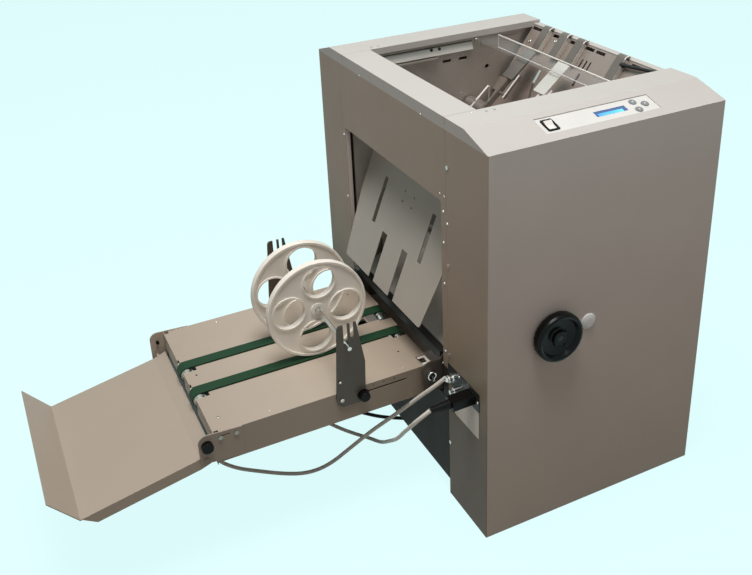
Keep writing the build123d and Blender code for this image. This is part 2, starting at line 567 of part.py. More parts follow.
with BuildPart() as conveyor_table:
    block(TABLE_X0, TABLE_X1, TABLE_Y0, TABLE_Y1, TABLE_TOP - T, TABLE_TOP)
    for y0 in (TABLE_Y0, TABLE_Y1 - T):
        block(TABLE_X0, SKIRT_X1, y0, y0 + T, TABLE_TOP - TABLE_DROP, TABLE_TOP)
    for y0 in (TABLE_Y0, TABLE_Y1 - 14):
        block(TABLE_X0 + 20, SKIRT_X1 - 20, y0, y0 + 14, TABLE_TOP - TABLE_DROP, TABLE_TOP - TABLE_DROP + T)
    block(SKIRT_X1, TABLE_X1 + 1, TABLE_Y0 - 1, TABLE_Y0 + 29, TABLE_TOP - 3, TABLE_TOP + 1, mode=Mode.SUBTRACT)
    block(SKIRT_X1, TABLE_X1 + 1, TABLE_Y1 - 29, TABLE_Y1 + 1, TABLE_TOP - 3, TABLE_TOP + 1, mode=Mode.SUBTRACT)
    block(TABLE_X0 - 1, TABLE_X0 + 9, TABLE_Y0 - 1, TABLE_Y0 + 7, TABLE_TOP - 12, TABLE_TOP + 1, mode=Mode.SUBTRACT)
    block(TABLE_X0 - 1, TABLE_X0 + 9, TABLE_Y1 - 7, TABLE_Y1 + 1, TABLE_TOP - 12, TABLE_TOP + 1, mode=Mode.SUBTRACT)
    block(TABLE_X0, TABLE_X0 + T, TABLE_Y0, TABLE_Y1, TABLE_TOP - END_DROP, TABLE_TOP)
    block(TABLE_X0 + 2, TABLE_X0 + 24, TABLE_Y0, TABLE_Y1, TIE_Z, TIE_Z + T)
    for by in BELT_Y:
        block(TABLE_X0 - 1, TABLE_X0 + 3, by - 22, by + 22, TABLE_TOP - 35, TABLE_TOP + 1, mode=Mode.SUBTRACT)
        block(TABLE_X0 - 1, TABLE_X1 + 1, by - 13, by + 13, TABLE_TOP - 3, TABLE_TOP + 1, mode=Mode.SUBTRACT)
        for x0, x1 in ((TABLE_X0 - 1, TABLE_X0 + 24), (TABLE_X1 - 26, TABLE_X1 + 1)):
            block(x0, x1, by - 22, by + 13, TABLE_TOP - 3, TABLE_TOP + 1, mode=Mode.SUBTRACT)
    block(TABLE_X0 + 30, TABLE_X1 - 30, BELT_Y[0] - 17, BELT_Y[1] + 17, TABLE_TOP - 5, TABLE_TOP - 2.6)
    block(TABLE_X0 + 30, TABLE_X0 + 44, TABLE_Y0, TABLE_Y1, TABLE_TOP - 5, TABLE_TOP - T)
    block(TABLE_X1 - 44, TABLE_X1 - 30, TABLE_Y0, TABLE_Y1, TABLE_TOP - 5, TABLE_TOP - T)
    block(GAP_X0, GAP_X1, GAP_Y, BELT_Y[1] - 12, TABLE_TOP - 6, TABLE_TOP + 1, mode=Mode.SUBTRACT)
    block(GAP_X1, GAP_X2, GAP_Y, BELT_Y[1] - 12, TABLE_TOP - T, TABLE_TOP + 1, mode=Mode.SUBTRACT)
    block(GAP_X2, TABLE_X1 + 1, GAP_Y - 5, BELT_Y[1] - 12, TABLE_TOP - 3, TABLE_TOP + 1, mode=Mode.SUBTRACT)
    for hx, hy in ((-45, 221), (-379, 327), (-379, 200), (-45, 440)):
        rod_z(hx, hy, 2.0, TABLE_TOP - 3, TABLE_TOP + 1, mode=Mode.SUBTRACT)
    for y0 in (TABLE_Y0 - 1, TABLE_Y1 - 3):
        block(-178, -58, y0, y0 + 4, 243.2, 246.4, mode=Mode.SUBTRACT)
        for hx in (-121, -102, -82):
            rod_y(hx, 252.5, 1.5, y0, y0 + 4, mode=Mode.SUBTRACT)
        block(IDLE_X - 4, IDLE_X + 4, y0, y0 + 4, ROLLER_Z - 4, ROLLER_Z + 4, mode=Mode.SUBTRACT)
    for y0 in (TABLE_Y0 + T, TABLE_Y1 - T - 3):
        plate_xz([(-60, 212), (-30, 212), (-10, 236), (-10, 256), (-30, 256), (-60, 250)], y0, y0 + 3)
        rod_y(DRIVE_X, ROLLER_Z, 6.05, y0 - 1, y0 + 4, mode=Mode.SUBTRACT)
conveyor_table.part.label = "conveyor_table"
export_step(conveyor_table.part, "parts/conveyor_table.step")

with BuildPart() as conveyor_belts:
    for by in BELT_Y:
        with BuildSketch(Plane(origin=P(0, by - BELT_W / 2, 0), x_dir=(1, 0, 0), z_dir=(0, -1, 0))):
            with Locations(((DRIVE_X + IDLE_X) / 2, ROLLER_Z)):
                SlotCenterToCenter(DRIVE_X - IDLE_X, 2 * (ROLLER_R + BELT_T))
                SlotCenterToCenter(DRIVE_X - IDLE_X, 2 * (ROLLER_R + 0.05), mode=Mode.SUBTRACT)
        extrude(amount=-BELT_W)
conveyor_belts.part.label = "conveyor_belts"
export_step(conveyor_belts.part, "parts/conveyor_belts.step")

with BuildPart() as drive_roller:
    for by, collar in zip(BELT_Y, (20, 30)):
        rod_y(DRIVE_X, ROLLER_Z, ROLLER_R, by - 12.5, by + 12.5)
        rod_y(DRIVE_X, ROLLER_Z, ROLLER_R - 1.5, by - collar, by + 20)
    rod_y(DRIVE_X, ROLLER_Z, 6.0, 145.5, 502.5)
    for c0, c1, e0, e1 in ((143.5, 149.5, 143, 145.5), (498.5, 504.5, 502.5, 505)):
        rod_y(DRIVE_X, ROLLER_Z, 9.0, c0, c1)
        rod_y(DRIVE_X, ROLLER_Z, 5.5, e0, e1, mode=Mode.SUBTRACT)
drive_roller.part.label = "drive_roller"
export_step(drive_roller.part, "parts/drive_roller.step")

with BuildPart() as idler_roller:
    for by in BELT_Y:
        rod_y(IDLE_X, ROLLER_Z, ROLLER_R, by - 12.5, by + 12.5)
        rod_y(IDLE_X, ROLLER_Z, ROLLER_R - 2, by - 20, by + 20)
    rod_y(IDLE_X, ROLLER_Z, 3.6, TABLE_Y0 + T + 0.5, TABLE_Y1 - T - 0.5)
idler_roller.part.label = "idler_roller"
export_step(idler_roller.part, "parts/idler_roller.step")

with BuildPart() as conveyor_motor:
    block(-132, -62, 396, 456, 207, 253.5)
    rod_y(-97, 230, 20, 384, 396)
conveyor_motor.part.label = "conveyor_motor"
export_step(conveyor_motor.part, "parts/conveyor_motor.step")

with BuildPart() as end_sensor:
    block(-372, -360, 388, 412, 214, 253.9)
    block(-372, -340, 388, 412, 250, 253.9)
end_sensor.part.label = "end_sensor"
export_step(end_sensor.part, "parts/end_sensor.step")

with BuildPart() as end_plates:
    for y0 in (TABLE_Y0 - 2.0, TABLE_Y1):
        with BuildSketch(Plane(origin=P(0, y0, 0), x_dir=(1, 0, 0), z_dir=(0, -1, 0))):
            with BuildLine():
                Polyline((-424, 210), (-352, 204), (-352, 259), (-424, 263), close=True)
            make_face()
            corner = vertices().sort_by(Axis.X)[:2].sort_by(Axis.Y)[-1]
            fillet(corner, 14)
            with Locations((-411, 243)):
                Circle(3.05, mode=Mode.SUBTRACT)
            with Locations((-379, 253)):
                SlotOverall(13, 3.4, mode=Mode.SUBTRACT)
        extrude(amount=-2.0)
    rod_y(-414, 216, 2.5, TABLE_Y0 - 2.0, TRAY_Y0 + 5)
    rod_y(-414, 216, 4.0, TABLE_Y0 - 4.2, TABLE_Y0 - 2.0)
    rod_y(-414, 216, 2.5, TRAY_Y1 - 5, TABLE_Y1 + 2.0)
    rod_y(-414, 216, 4.0, TABLE_Y1 + 2.0, TABLE_Y1 + 4.2)
end_plates.part.label = "end_plates"
export_step(end_plates.part, "parts/end_plates.step")

with BuildPart() as conveyor_screws:
    for sx, sz in ((-388, 251), (-362, 251)):
        rod_y(sx, sz, 3.8, TABLE_Y0 - 4.4, TABLE_Y0 - 2.0)
        rod_y(sx, sz, 3.8, TABLE_Y1 + 2.0, TABLE_Y1 + 4.4)
conveyor_screws.part.label = "conveyor_screws"
export_step(conveyor_screws.part, "parts/conveyor_screws.step")

for name, y0, sign in (("tray_knob_near", TABLE_Y0 - 2.0, -1), ("tray_knob_far", TABLE_Y1 + 2.0, 1)):
    with BuildPart() as knob:
        a, b = sorted((y0 + sign * 0.3, y0 + sign * 10.0))
        rod_y(-411, 243, 9.5, a, b)
        a, b = sorted((y0 - sign * 7.0, y0 + sign * 2.0))
        rod_y(-411, 243, 3.0, a, b)
        outer = knob.faces().sort_by(Axis.Y)[0 if sign < 0 else -1]
        fillet(outer.edges(), 1.5)
    knob.part.label = name
    export_step(knob.part, "parts/" + name + ".step")

# Catch tray: one folded sheet with a raised lip and side flanges.
TRAY = [(-401.5, 226.5), (-424, 218.0), (-614, 180.5), (-655, 229.5)]
with BuildPart() as catch_tray:
    plate_xz(ribbon(TRAY[::-1], 1.5), TRAY_Y0, TRAY_Y1)
    for y0 in (TRAY_Y0, TRAY_Y1 - T):
        plate_xz([(-409, 223.0), (-424, 217.0), (-612, 180.0), (-590, 165.5), (-424, 198.0), (-407, 204.0)],
                 y0, y0 + T)
        rod_y(-414, 216, 2.55, y0 - 1, y0 + 3, mode=Mode.SUBTRACT)
catch_tray.part.label = "catch_tray"
export_step(catch_tray.part, "parts/catch_tray.step")

# Press wheel brackets: a plate with two open slots for the axle.
FORK = [(-190, 250), (-181.5, 384), (-178.5, 388.5), (-163, 388.8), (-148, 389), (-135.5, 310),
        (-138, 237), (-146, 232), (-179, 232), (-186, 237)]
for name, y0 in (("bracket_near", FORK_NEAR_Y), ("bracket_far", FORK_FAR_Y - BRACKET_T)):
    with BuildPart() as fork:
        plate_xz(FORK, y0, y0 + BRACKET_T)
        rod_y(WHEEL_X, WHEEL_Z - 0.1, 4.0, y0 - 1, y0 + 4, mode=Mode.SUBTRACT)
        block(WHEEL_X - 4.0, WHEEL_X + 4.0, y0 - 1, y0 + 4, WHEEL_Z - 0.1, 395, mode=Mode.SUBTRACT)
        rod_y(-155.5, 364.5, 3.4, y0 - 1, y0 + 4, mode=Mode.SUBTRACT)
        block(-158.9, -152.1, y0 - 1, y0 + 4, 364.5, 395, mode=Mode.SUBTRACT)
        rod_y(-142.5, 244.8, 3.05, y0 - 1, y0 + 4, mode=Mode.SUBTRACT)
        head0, head1 = ((y0 - 1.8, y0) if y0 < 300 else (y0 + BRACKET_T, y0 + BRACKET_T + 1.8))
        rod_y(-181, 246.5, 3.6, head0, head1)
        rod_y(-182.5, 283, 2.2, head0, head1)
    fork.part.label = name
    export_step(fork.part, "parts/" + name + ".step")

for name, y0, sign in (("clamp_knob_near", FORK_NEAR_Y, -1), ("clamp_knob_far", FORK_FAR_Y, 1)):
    with BuildPart() as knob:
        a, b = sorted((y0 + sign * 1.8, y0 + sign * 11.0))
        rod_y(-142.5, 244.8, 9.0, a, b)
        a, b = sorted((y0 + sign * 0.3, y0 + sign * 1.8))
        rod_y(-142.5, 244.8, 10.5, a, b)
        a, b = sorted((y0 - sign * 9.0, y0 + sign * 2.0))
        rod_y(-142.5, 244.8, 1.35, a, b)
        outer = knob.faces().sort_by(Axis.Y)[0 if sign < 0 else -1]
        fillet(outer.edges(), 1.5)
    knob.part.label = name
    export_step(knob.part, "parts/" + name + ".step")

with BuildPart() as wheel_axle:
    rod_y(WHEEL_X, WHEEL_Z, AXLE_R, 144, 504)
    for by in BELT_Y:
        for c0 in (by - WHEEL_T / 2 - 5.3, by + WHEEL_T / 2 + 0.3):
            rod_y(WHEEL_X, WHEEL_Z, 6.0, c0, c0 + 5)
wheel_axle.part.label = "wheel_axle"
export_step(wheel_axle.part, "parts/wheel_axle.step")

for name, by in (("wheel_near", BELT_Y[0]), ("wheel_far", BELT_Y[1])):
    with BuildPart() as wheel:
        rod_y(WHEEL_X, WHEEL_Z, WHEEL_R, by - WHEEL_T / 2, by + WHEEL_T / 2)
        outer = wheel.edges().filter_by(GeomType.CIRCLE)
        fillet(outer, 1.0)
        for c0, c1 in ((by - WHEEL_T / 2 - 1, by - WHEEL_T / 2 + 2.5), (by + WHEEL_T / 2 - 2.5, by + WHEEL_T / 2 + 1)):
            with BuildSketch(Plane(origin=P(WHEEL_X, c0, WHEEL_Z), x_dir=(1, 0, 0), z_dir=(0, -1, 0))):
                Circle(WHEEL_R - 4.5)
                Circle(12, mode=Mode.SUBTRACT)
                with PolarLocations(52, 4, start_angle=-7):
                    Circle(31, mode=Mode.SUBTRACT)
            extrude(amount=-(c1 - c0), mode=Mode.SUBTRACT)
        rod_y(WHEEL_X, WHEEL_Z, AXLE_R + 0.05, by - 8, by + 8, mode=Mode.SUBTRACT)
        with BuildSketch(Plane(origin=P(WHEEL_X, by - 8, WHEEL_Z), x_dir=(1, 0, 0), z_dir=(0, -1, 0))):
            with PolarLocations(52, 4, start_angle=-7):
                Circle(28.5)
        extrude(amount=-16, mode=Mode.SUBTRACT)
    wheel.part.label = name
    export_step(wheel.part, "parts/" + name + ".step")


# ---- cords -------------------------------------------------------------------------------------
def radii(points):
    """Bend radius at each inner point, and a print of the smallest."""
    out = []
    for i in range(1, len(points) - 1):
        a = Vector(*points[i]) - Vector(*points[i - 1])
        b = Vector(*points[i + 1]) - Vector(*points[i])
        half = math.radians(a.get_angle(b)) / 2
        out.append(0.45 * min(a.length, b.length) / math.tan(half))
    print("bend radii", [round(r) for r in out], "smallest / diameter", round(min(out) / (2 * CORD_R), 1))
    return out


MOTOR_ROUTE = [(-14, 107, 265), (-26, 121, 244), (-38, 139, 221), (-50, 160, 194), (-63, 182, 165),
               (-78, 205, 135), (-97, 229, 103), (-118, 252, 68), (-138, 272, 36), (-158, 284, 13),
               (-185, 287, 3.5), (-216, 290, 3.5), (-249, 307, 3.5), (-287, 335, 3.5), (-326, 366, 3.5),
               (-357, 388, 21), (-366, 397, 67), (-367, 401, 116), (-366, 402, 165), (-366, 400, 213.5)]
MAINS_ROUTE = [(-77, 45, 264), (-94, 56, 244), (-97, 78, 216), (-95, 105, 186), (-90, 135, 152),
               (-83, 168, 119), (-74, 205, 86), (-65, 241, 54), (-58, 273, 26), (-57, 298, 8),
               (-66, 321, 3.5), (-84, 344, 3.5), (-102, 370, 3.5), (-119, 401, 3.5), (-134, 435, 3.5),
               (-145, 471, 3.5), (-152, 508, 3.5), (-156.7, 543, 3.5)]
CONTROL_ROUTE = [(14, 331, 14), (-12, 362, 3.5), (-43, 394, 3.5), (-71, 431, 3.5), (-93, 463, 24),
                 (-105, 470, 64), (-103, 458, 110), (-98, 446, 158), (-97, 436, 206)]

for name, route in (("motor_cable", MOTOR_ROUTE), ("mains_cable", MAINS_ROUTE),
                    ("control_cable", CONTROL_ROUTE)):
    points = [P(*q) for q in route]
    with BuildPart() as cord:
        with BuildLine():
            path = FilletPolyline(*points, radius=radii(points))
        with BuildSketch(Plane(origin=path @ 0, z_dir=path % 0)):
            Circle(CORD_R)
        sweep(path=path)
    print(name, "length", round(path.length), "volume ratio",
          round(cord.part.volume / (math.pi * CORD_R ** 2 * path.length), 4))
    cord.part.label = name
    export_step(cord.part, "parts/" + name + ".step")

with BuildPart() as inlet_plug:
    block(-42, -1.5, PLUG_Y - 13, PLUG_Y + 13, PLUG_Z - 9, PLUG_Z + 9)
    ends = inlet_plug.edges().filter_by(Axis.X)
    fillet(ends, 4)
    with BuildSketch(Plane(origin=P(-42, PLUG_Y, PLUG_Z), x_dir=(0, 1, 0), z_dir=(-1, 0, 0))):
        Circle(8)
    with BuildSketch(Plane(origin=P(-77, PLUG_Y, PLUG_Z), x_dir=(0, 1, 0), z_dir=(-1, 0, 0))):
        Circle(5)
    loft()
inlet_plug.part.label = "inlet_plug"
export_step(inlet_plug.part, "parts/inlet_plug.step")

COIL_PITCH = 6.6
TAIL_X = COIL_X - COIL_R - COIL_PITCH / 2       # the last turn leaves the coil along -Y here
TAIL_Z = CORD_R + 2 * COIL_PITCH
PLUG_R = 18.0
BOOT_Y, BODY_Y, FACE_Y, PIN_Y = 517.0, 484.0, 448.0, 429.0

with BuildPart() as mains_coil:
    for k in range(3):
        for r in (COIL_R - COIL_PITCH / 2, COIL_R + COIL_PITCH / 2):
            with Locations(P(COIL_X, COIL_Y, CORD_R + COIL_PITCH * k)):
                Torus(r, CORD_R)
    with BuildLine():
        tail = Line(P(TAIL_X, COIL_Y, TAIL_Z), P(TAIL_X, BOOT_Y, PLUG_R))
    with BuildSketch(Plane(origin=tail @ 0, z_dir=tail % 0)):
        Circle(CORD_R)
    sweep(path=tail)
mains_coil.part.label = "mains_coil"
export_step(mains_coil.part, "parts/mains_coil.step")

with BuildPart() as wall_plug:
    with BuildSketch(Plane(origin=P(TAIL_X, 0, PLUG_R), x_dir=(1, 0, 0), z_dir=(0, 0, 1))):
        with BuildLine():
            Polyline((0, BOOT_Y), (5, BOOT_Y), (8, BODY_Y), (15, BODY_Y - 6), (PLUG_R, BODY_Y - 16),
                     (PLUG_R, FACE_Y), (0, FACE_Y), close=True)
        make_face()
    revolve(axis=Axis(P(TAIL_X, 0, PLUG_R), (0, 1, 0)))
    for px in (TAIL_X - 9.5, TAIL_X + 9.5):
        rod_y(px, PLUG_R, 2.4, PIN_Y, FACE_Y)
wall_plug.part.label = "wall_plug"
export_step(wall_plug.part, "parts/wall_plug.step")
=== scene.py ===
"""Finishes, cords, small fittings, lights and camera for the booklet folding machine.

Metres, in the frame of the solids: +Z up, +X towards the infeed side, +Y away from the operator, the
origin on the floor under the middle of the cabinet.
"""
import math

import bmesh
import bpy
import numpy as np
from mathutils import Matrix, Vector


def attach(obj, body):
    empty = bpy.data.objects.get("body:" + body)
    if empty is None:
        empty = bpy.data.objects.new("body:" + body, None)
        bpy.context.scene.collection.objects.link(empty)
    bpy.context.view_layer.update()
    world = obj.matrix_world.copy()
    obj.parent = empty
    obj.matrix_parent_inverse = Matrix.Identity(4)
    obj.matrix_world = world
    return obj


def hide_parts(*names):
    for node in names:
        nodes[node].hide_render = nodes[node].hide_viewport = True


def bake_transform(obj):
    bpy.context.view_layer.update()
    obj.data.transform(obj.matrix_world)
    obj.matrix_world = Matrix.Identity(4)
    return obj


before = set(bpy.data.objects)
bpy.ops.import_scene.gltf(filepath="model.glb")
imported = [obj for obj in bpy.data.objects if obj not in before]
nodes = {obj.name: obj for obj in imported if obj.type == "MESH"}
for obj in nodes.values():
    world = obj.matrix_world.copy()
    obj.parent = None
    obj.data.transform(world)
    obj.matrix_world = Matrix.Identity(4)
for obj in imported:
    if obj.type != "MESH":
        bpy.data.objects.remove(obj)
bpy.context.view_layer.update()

# ---- sizes, in metres --------------------------------------------------------------------------
MM = 0.001
WIDE, DEEP = 0.432, 0.618     # the cabinet's width and depth
CORD_R = 0.0035
FACE_TOP = 0.700              # z of the operator face's upper edge
# SIDE_X also marks where the casing's painted side shade begins.
SIDE_X = -0.2150              # x just inside the delivery side's outer face
TRAY_END, NOSE_END = -0.871, -0.224   # x of the conveyor's two ends, tray included
# NEAR_SKIRT also marks where the deck's painted shade on the near side begins.
NEAR_SKIRT = -0.1468          # y just inside the table's near side
HEADS_BETWEEN = 0.066         # y between the two stitching heads
# The top's tone is painted light, a separate colour for the lit upper face.
SKIN = 0.0005                 # the top's tone starts this far below the face's upper edge
PEEL_DEPTH, GRAIN_DEPTH = 0.00012, 0.00008   # of the bumps in paint and in metal


def at(x, y, z):
    """Point in metres from millimetres measured from the near delivery corner."""
    return Vector((x * MM - WIDE / 2, y * MM - DEEP / 2, z * MM))


# ---- camera ------------------------------------------------------------------------------------
EYE = (-0.85184, -1.33179, 1.21280)
RIGHT = (0.901952, -0.429540, -0.044483)
DOWN = (-0.212700, -0.352243, -0.911418)
AHEAD = (0.375822, 0.831517, -0.409069)
FOCAL_PX, FRAME_PX = 938.9, 752.0   # focal length and frame width, in pixels
SENSOR = 36.0                       # its width in millimetres
SHIFT = (0.0016, -0.1467)           # of the lens, in frame widths

lens = bpy.data.cameras.new("camera")
lens.sensor_width = SENSOR
lens.lens = FOCAL_PX * SENSOR / FRAME_PX
lens.shift_x, lens.shift_y = SHIFT
lens.clip_start, lens.clip_end = 0.05, 50.0
camera = bpy.data.objects.new("camera", lens)
columns = [Vector(RIGHT), -Vector(DOWN), -Vector(AHEAD)]
turn = Matrix([[c[i] for c in columns] for i in range(3)]).to_4x4()
camera.matrix_world = Matrix.Translation(EYE) @ turn
bpy.context.scene.collection.objects.link(camera)
bpy.context.scene.camera = camera


# ---- shader arithmetic -------------------------------------------------------------------------
class Field:
    """A shader socket that takes part in sums, so that 1 - mask adds its own Math node."""

    def __init__(self, finish, socket):
        self.finish = finish
        self.socket = socket

    def _with(self, operation, other, swapped=False):
        pair = (other, self) if swapped else (self, other)
        node = self.finish.add("ShaderNodeMath", dict(operation=operation), {0: pair[0], 1: pair[1]})
        return Field(self.finish, node.outputs[0])

    def __add__(self, other):
        return self._with("ADD", other)

    __radd__ = __add__

    def __sub__(self, other):
        return self._with("SUBTRACT", other)

    def __rsub__(self, other):
        return self._with("SUBTRACT", other, swapped=True)

    def __mul__(self, other):
        return self._with("MULTIPLY", other)

    __rmul__ = __mul__

    def above(self, other):
        return self._with("GREATER_THAN", other)

    def below(self, other):
        return self._with("LESS_THAN", other)


class Tree:
    """A node tree; add() makes any node from its type, settings and socket values."""

    def __init__(self, tree):
        self.tree = tree

    def put(self, node, socket, value):
        spot = node.inputs[socket]
        if isinstance(value, Field):
            self.tree.links.new(value.socket, spot)
        elif hasattr(spot.default_value, "__len__") and len(spot.default_value) == 4 and len(value) == 3:
            spot.default_value = (*value, 1.0)
        else:
            spot.default_value = value

    def add(self, kind, settings=None, sockets=None):
        node = self.tree.nodes.new(kind)
        for key, value in (settings or {}).items():
            if key == "stops":
                ramp = node.color_ramp
                while len(ramp.elements) < len(value):
                    ramp.elements.new(0.5)
                for element, (place, colour) in zip(ramp.elements, value):
                    element.position = place
                    element.color = (*colour, 1.0)
            else:
                setattr(node, key, value)
        for key, value in (sockets or {}).items():
            self.put(node, key, value)
        return node

    def shown(self, lit, seen, output):
        """Shader lit for the light that falls on things, and seen where it is looked at or mirrored."""
        path = self.add("ShaderNodeLightPath")
        camera_ray, mirrored, through = [
            Field(self, path.outputs[f"Is {kind} Ray"]) for kind in ("Camera", "Glossy", "Transmission")]
        mixed = self.add("ShaderNodeMixShader", None, {
            0: camera_ray + mirrored + through,
            1: Field(self, lit.outputs[0]),
            2: Field(self, seen.outputs[0])})
        self.put(output, "Surface", Field(self, mixed.outputs[0]))


class Finish(Tree):
    """One material with a Principled shader."""

    def __init__(self, name, **fixed):
        self.material = bpy.data.materials.new(name)
        self.material.use_nodes = True
        super().__init__(self.material.node_tree)
        self.shader = self.tree.nodes["Principled BSDF"]
        for socket, value in fixed.items():
            self.put(self.shader, socket.replace("_", " "), value)

    def place(self, scale=(1, 1, 1)):
        """Object coordinates, scaled."""
        coords = self.add("ShaderNodeTexCoord")
        node = self.add("ShaderNodeMapping", None, {
            "Vector": Field(self, coords.outputs["Object"]), "Scale": scale})
        return Field(self, node.outputs[0])

    def parts(self):
        """The three coordinates as separate fields."""
        node = self.add("ShaderNodeSeparateXYZ", None, {0: self.place()})
        return [Field(self, node.outputs[i]) for i in range(3)]

    def noise(self, scale, detail=3.0, rough=0.5, stretch=(1, 1, 1)):
        node = self.add("ShaderNodeTexNoise", None, {
            "Vector": self.place(stretch), "Scale": scale, "Detail": detail, "Roughness": rough})
        return Field(self, node.outputs["Fac"])

    def ramp(self, fac, stops):
        node = self.add("ShaderNodeValToRGB", dict(stops=stops), {"Fac": fac})
        return Field(self, node.outputs["Color"])

    def blend(self, fac, a, b):
        """Colour a where fac is 0 and b where it is 1."""
        node = self.add("ShaderNodeMix", dict(data_type="RGBA"), {"Factor": fac, 6: a, 7: b})
        return Field(self, node.outputs[2])

    def bump(self, height, depth, strength):
        node = self.add("ShaderNodeBump", None, {"Height": height, "Distance": depth, "Strength": strength})
        self.put(self.shader, "Normal", Field(self, node.outputs[0]))

    def base(self, value):
        self.put(self.shader, "Base Color", value)

    def rough(self, value):
        self.put(self.shader, "Roughness", value)

    def orange_peel(self, rough):
        """The surface of baked paint: rubbed patches in the gloss and a fine pebbled grain."""
        self.rough(self.noise(24.0, 4.0, 0.6) * 0.16 + (rough - 0.08))
        self.bump(self.noise(900.0, 2.0, 0.5), PEEL_DEPTH, 0.5)


def shade(colour, factor):
    """A colour times a factor, kept under 1."""
    return tuple(min(1.0, c * factor) for c in colour)


def drifting(colour, drift):
    """Ramp stops round a colour, a little darker and a little paler."""
    return [(0.3, shade(colour, 1 - drift)), (0.7, shade(colour, 1 + drift))]


# ---- finishes ----------------------------------------------------------------------------------
def powder_coat(name, colour, rough=0.45, shine=0.3):
    """Baked paint with a fine orange peel, a slow drift of tone and faint rubbed patches."""
    f = Finish(name, Specular_IOR_Level=shine)
    f.base(f.ramp(f.noise(7.0, 3.0, 0.55), drifting(colour, 0.05)))
    f.orange_peel(rough)
    return f.material


def casing_paint_with_painted_shade(name):
    """Baked paint with painted shade: darker towards the floor, with its own run of tones for each way a
    panel faces, set for how the light falls on it.
    """
    f = Finish(name, Specular_IOR_Level=0.14)
    x, _, z = f.parts()
    height = z * (1 / FACE_TOP)
    # Painted shade: the front's colour darkens towards the floor.
    front = f.ramp(height, [(0.08, (0.49, 0.42, 0.36)), (0.5, (0.61, 0.535, 0.485)),
                            (0.97, (0.71, 0.675, 0.64))])
    # Painted shade: the delivery side is painted much darker than the front.
    side = f.ramp(height, [(0.28, (0.20, 0.155, 0.120)), (0.47, (0.38, 0.31, 0.23)),
                           (0.62, (0.445, 0.36, 0.295))])
    colour = f.blend(x.below(SIDE_X), front, side)
    # Painted light: the top face gets its own tone for the light that falls on it.
    colour = f.blend(z.above(FACE_TOP - SKIN), colour, (0.575, 0.55, 0.525))
    f.base(f.blend(f.noise(7.0, 3.0, 0.55) * 0.14, colour, (0.12, 0.11, 0.10)))
    f.orange_peel(0.48)
    return f.material


def deck_coat_with_painted_shade(name):
    """Paint of the table and tray with painted shade: palest in the middle of the run, darker towards its
    ends and on the near edge.
    """
    f = Finish(name, Specular_IOR_Level=0.2)
    x, y, _ = f.parts()
    run = (x - TRAY_END) * (1 / (NOSE_END - TRAY_END))
    # Painted shade: the tone falls off from the middle of the run towards both ends.
    flat = f.ramp(run, [(0.0, (0.45, 0.38, 0.315)), (0.42, (0.45, 0.38, 0.315)),
                        (0.66, (0.51, 0.435, 0.36)), (0.86, (0.43, 0.355, 0.285)),
                        (0.98, (0.34, 0.275, 0.215))])
    # Painted shade: the near side is painted darker.
    edge = y.below(NEAR_SKIRT) * 0.16
    shaded = f.blend(edge, flat, (0.0, 0.0, 0.0))
    f.base(f.blend(f.noise(7.0, 3.0, 0.55) * 0.12, shaded, (0.16, 0.13, 0.10)))
    f.orange_peel(0.48)
    return f.material


def head_steel_lit_and_shaded(name):
    """One steel in two painted lights: bright on the near head as painted light, duller on the far one as
    painted shade.
    """
    f = Finish(name, Metallic=0.5)
    _, y, _ = f.parts()
    tone = f.noise(14.0, 5.0, 0.6) * 0.25
    near = f.ramp(tone, [(0.0, (0.70, 0.62, 0.57)), (0.25, (0.82, 0.75, 0.70))])
    far = f.ramp(tone, [(0.0, (0.17, 0.145, 0.125)), (0.25, (0.26, 0.225, 0.20))])
    # Painted light and shade: near head bright, far head dark, split at HEADS_BETWEEN.
    f.base(f.blend(y.above(HEADS_BETWEEN), near, far))
    f.rough(tone + 0.3)
    f.bump(f.noise(260.0), GRAIN_DEPTH, 0.35)
    return f.material


def bare_metal(name, colour, rough, stretch=(1, 1, 1), metallic=1.0):
    """Sheet metal with a directional grain and cloudy rubbed patches."""
    f = Finish(name, Metallic=metallic)
    cloud = f.noise(14.0, 5.0, 0.6)
    grain = f.noise(260.0, 3.0, 0.6, stretch)
    f.base(f.ramp(cloud * 0.7 + grain * 0.3, drifting(colour, 0.12)))
    f.rough(cloud * 0.22 + grain * 0.12 + (rough - 0.17))
    f.bump(grain, GRAIN_DEPTH, 0.35)
    return f.material


def moulding(name, colour, rough, grain=GRAIN_DEPTH, scale=700.0, shine=0.35):
    """Moulded plastic or rubber: even colour, fine grain."""
    f = Finish(name, Specular_IOR_Level=shine)
    f.base(f.ramp(f.noise(20.0), drifting(colour, 0.04)))
    f.rough(f.noise(60.0) * 0.1 + (rough - 0.05))
    f.bump(f.noise(scale, 2.0), grain, 0.4)
    return f.material


def belt_cloth(name, colour):
    """Woven belt cover: a fine weave across the belt, over cloudy wear."""
    f = Finish(name, Specular_IOR_Level=0.2)
    weave = f.add("ShaderNodeTexWave", dict(wave_type="BANDS", bands_direction="X"),
                  {"Vector": f.place(), "Scale": 320.0, "Distortion": 1.0})
    ribs = Field(f, weave.outputs["Fac"])
    cloud = f.noise(30.0, 4.0)
    f.base(f.ramp(cloud * 0.7 + ribs * 0.3, [(0.25, shade(colour, 0.7)), (0.75, shade(colour, 1.3))]))
    f.rough(cloud * 0.2 + 0.5)
    f.bump(ribs, 0.0001, 0.5)
    return f.material


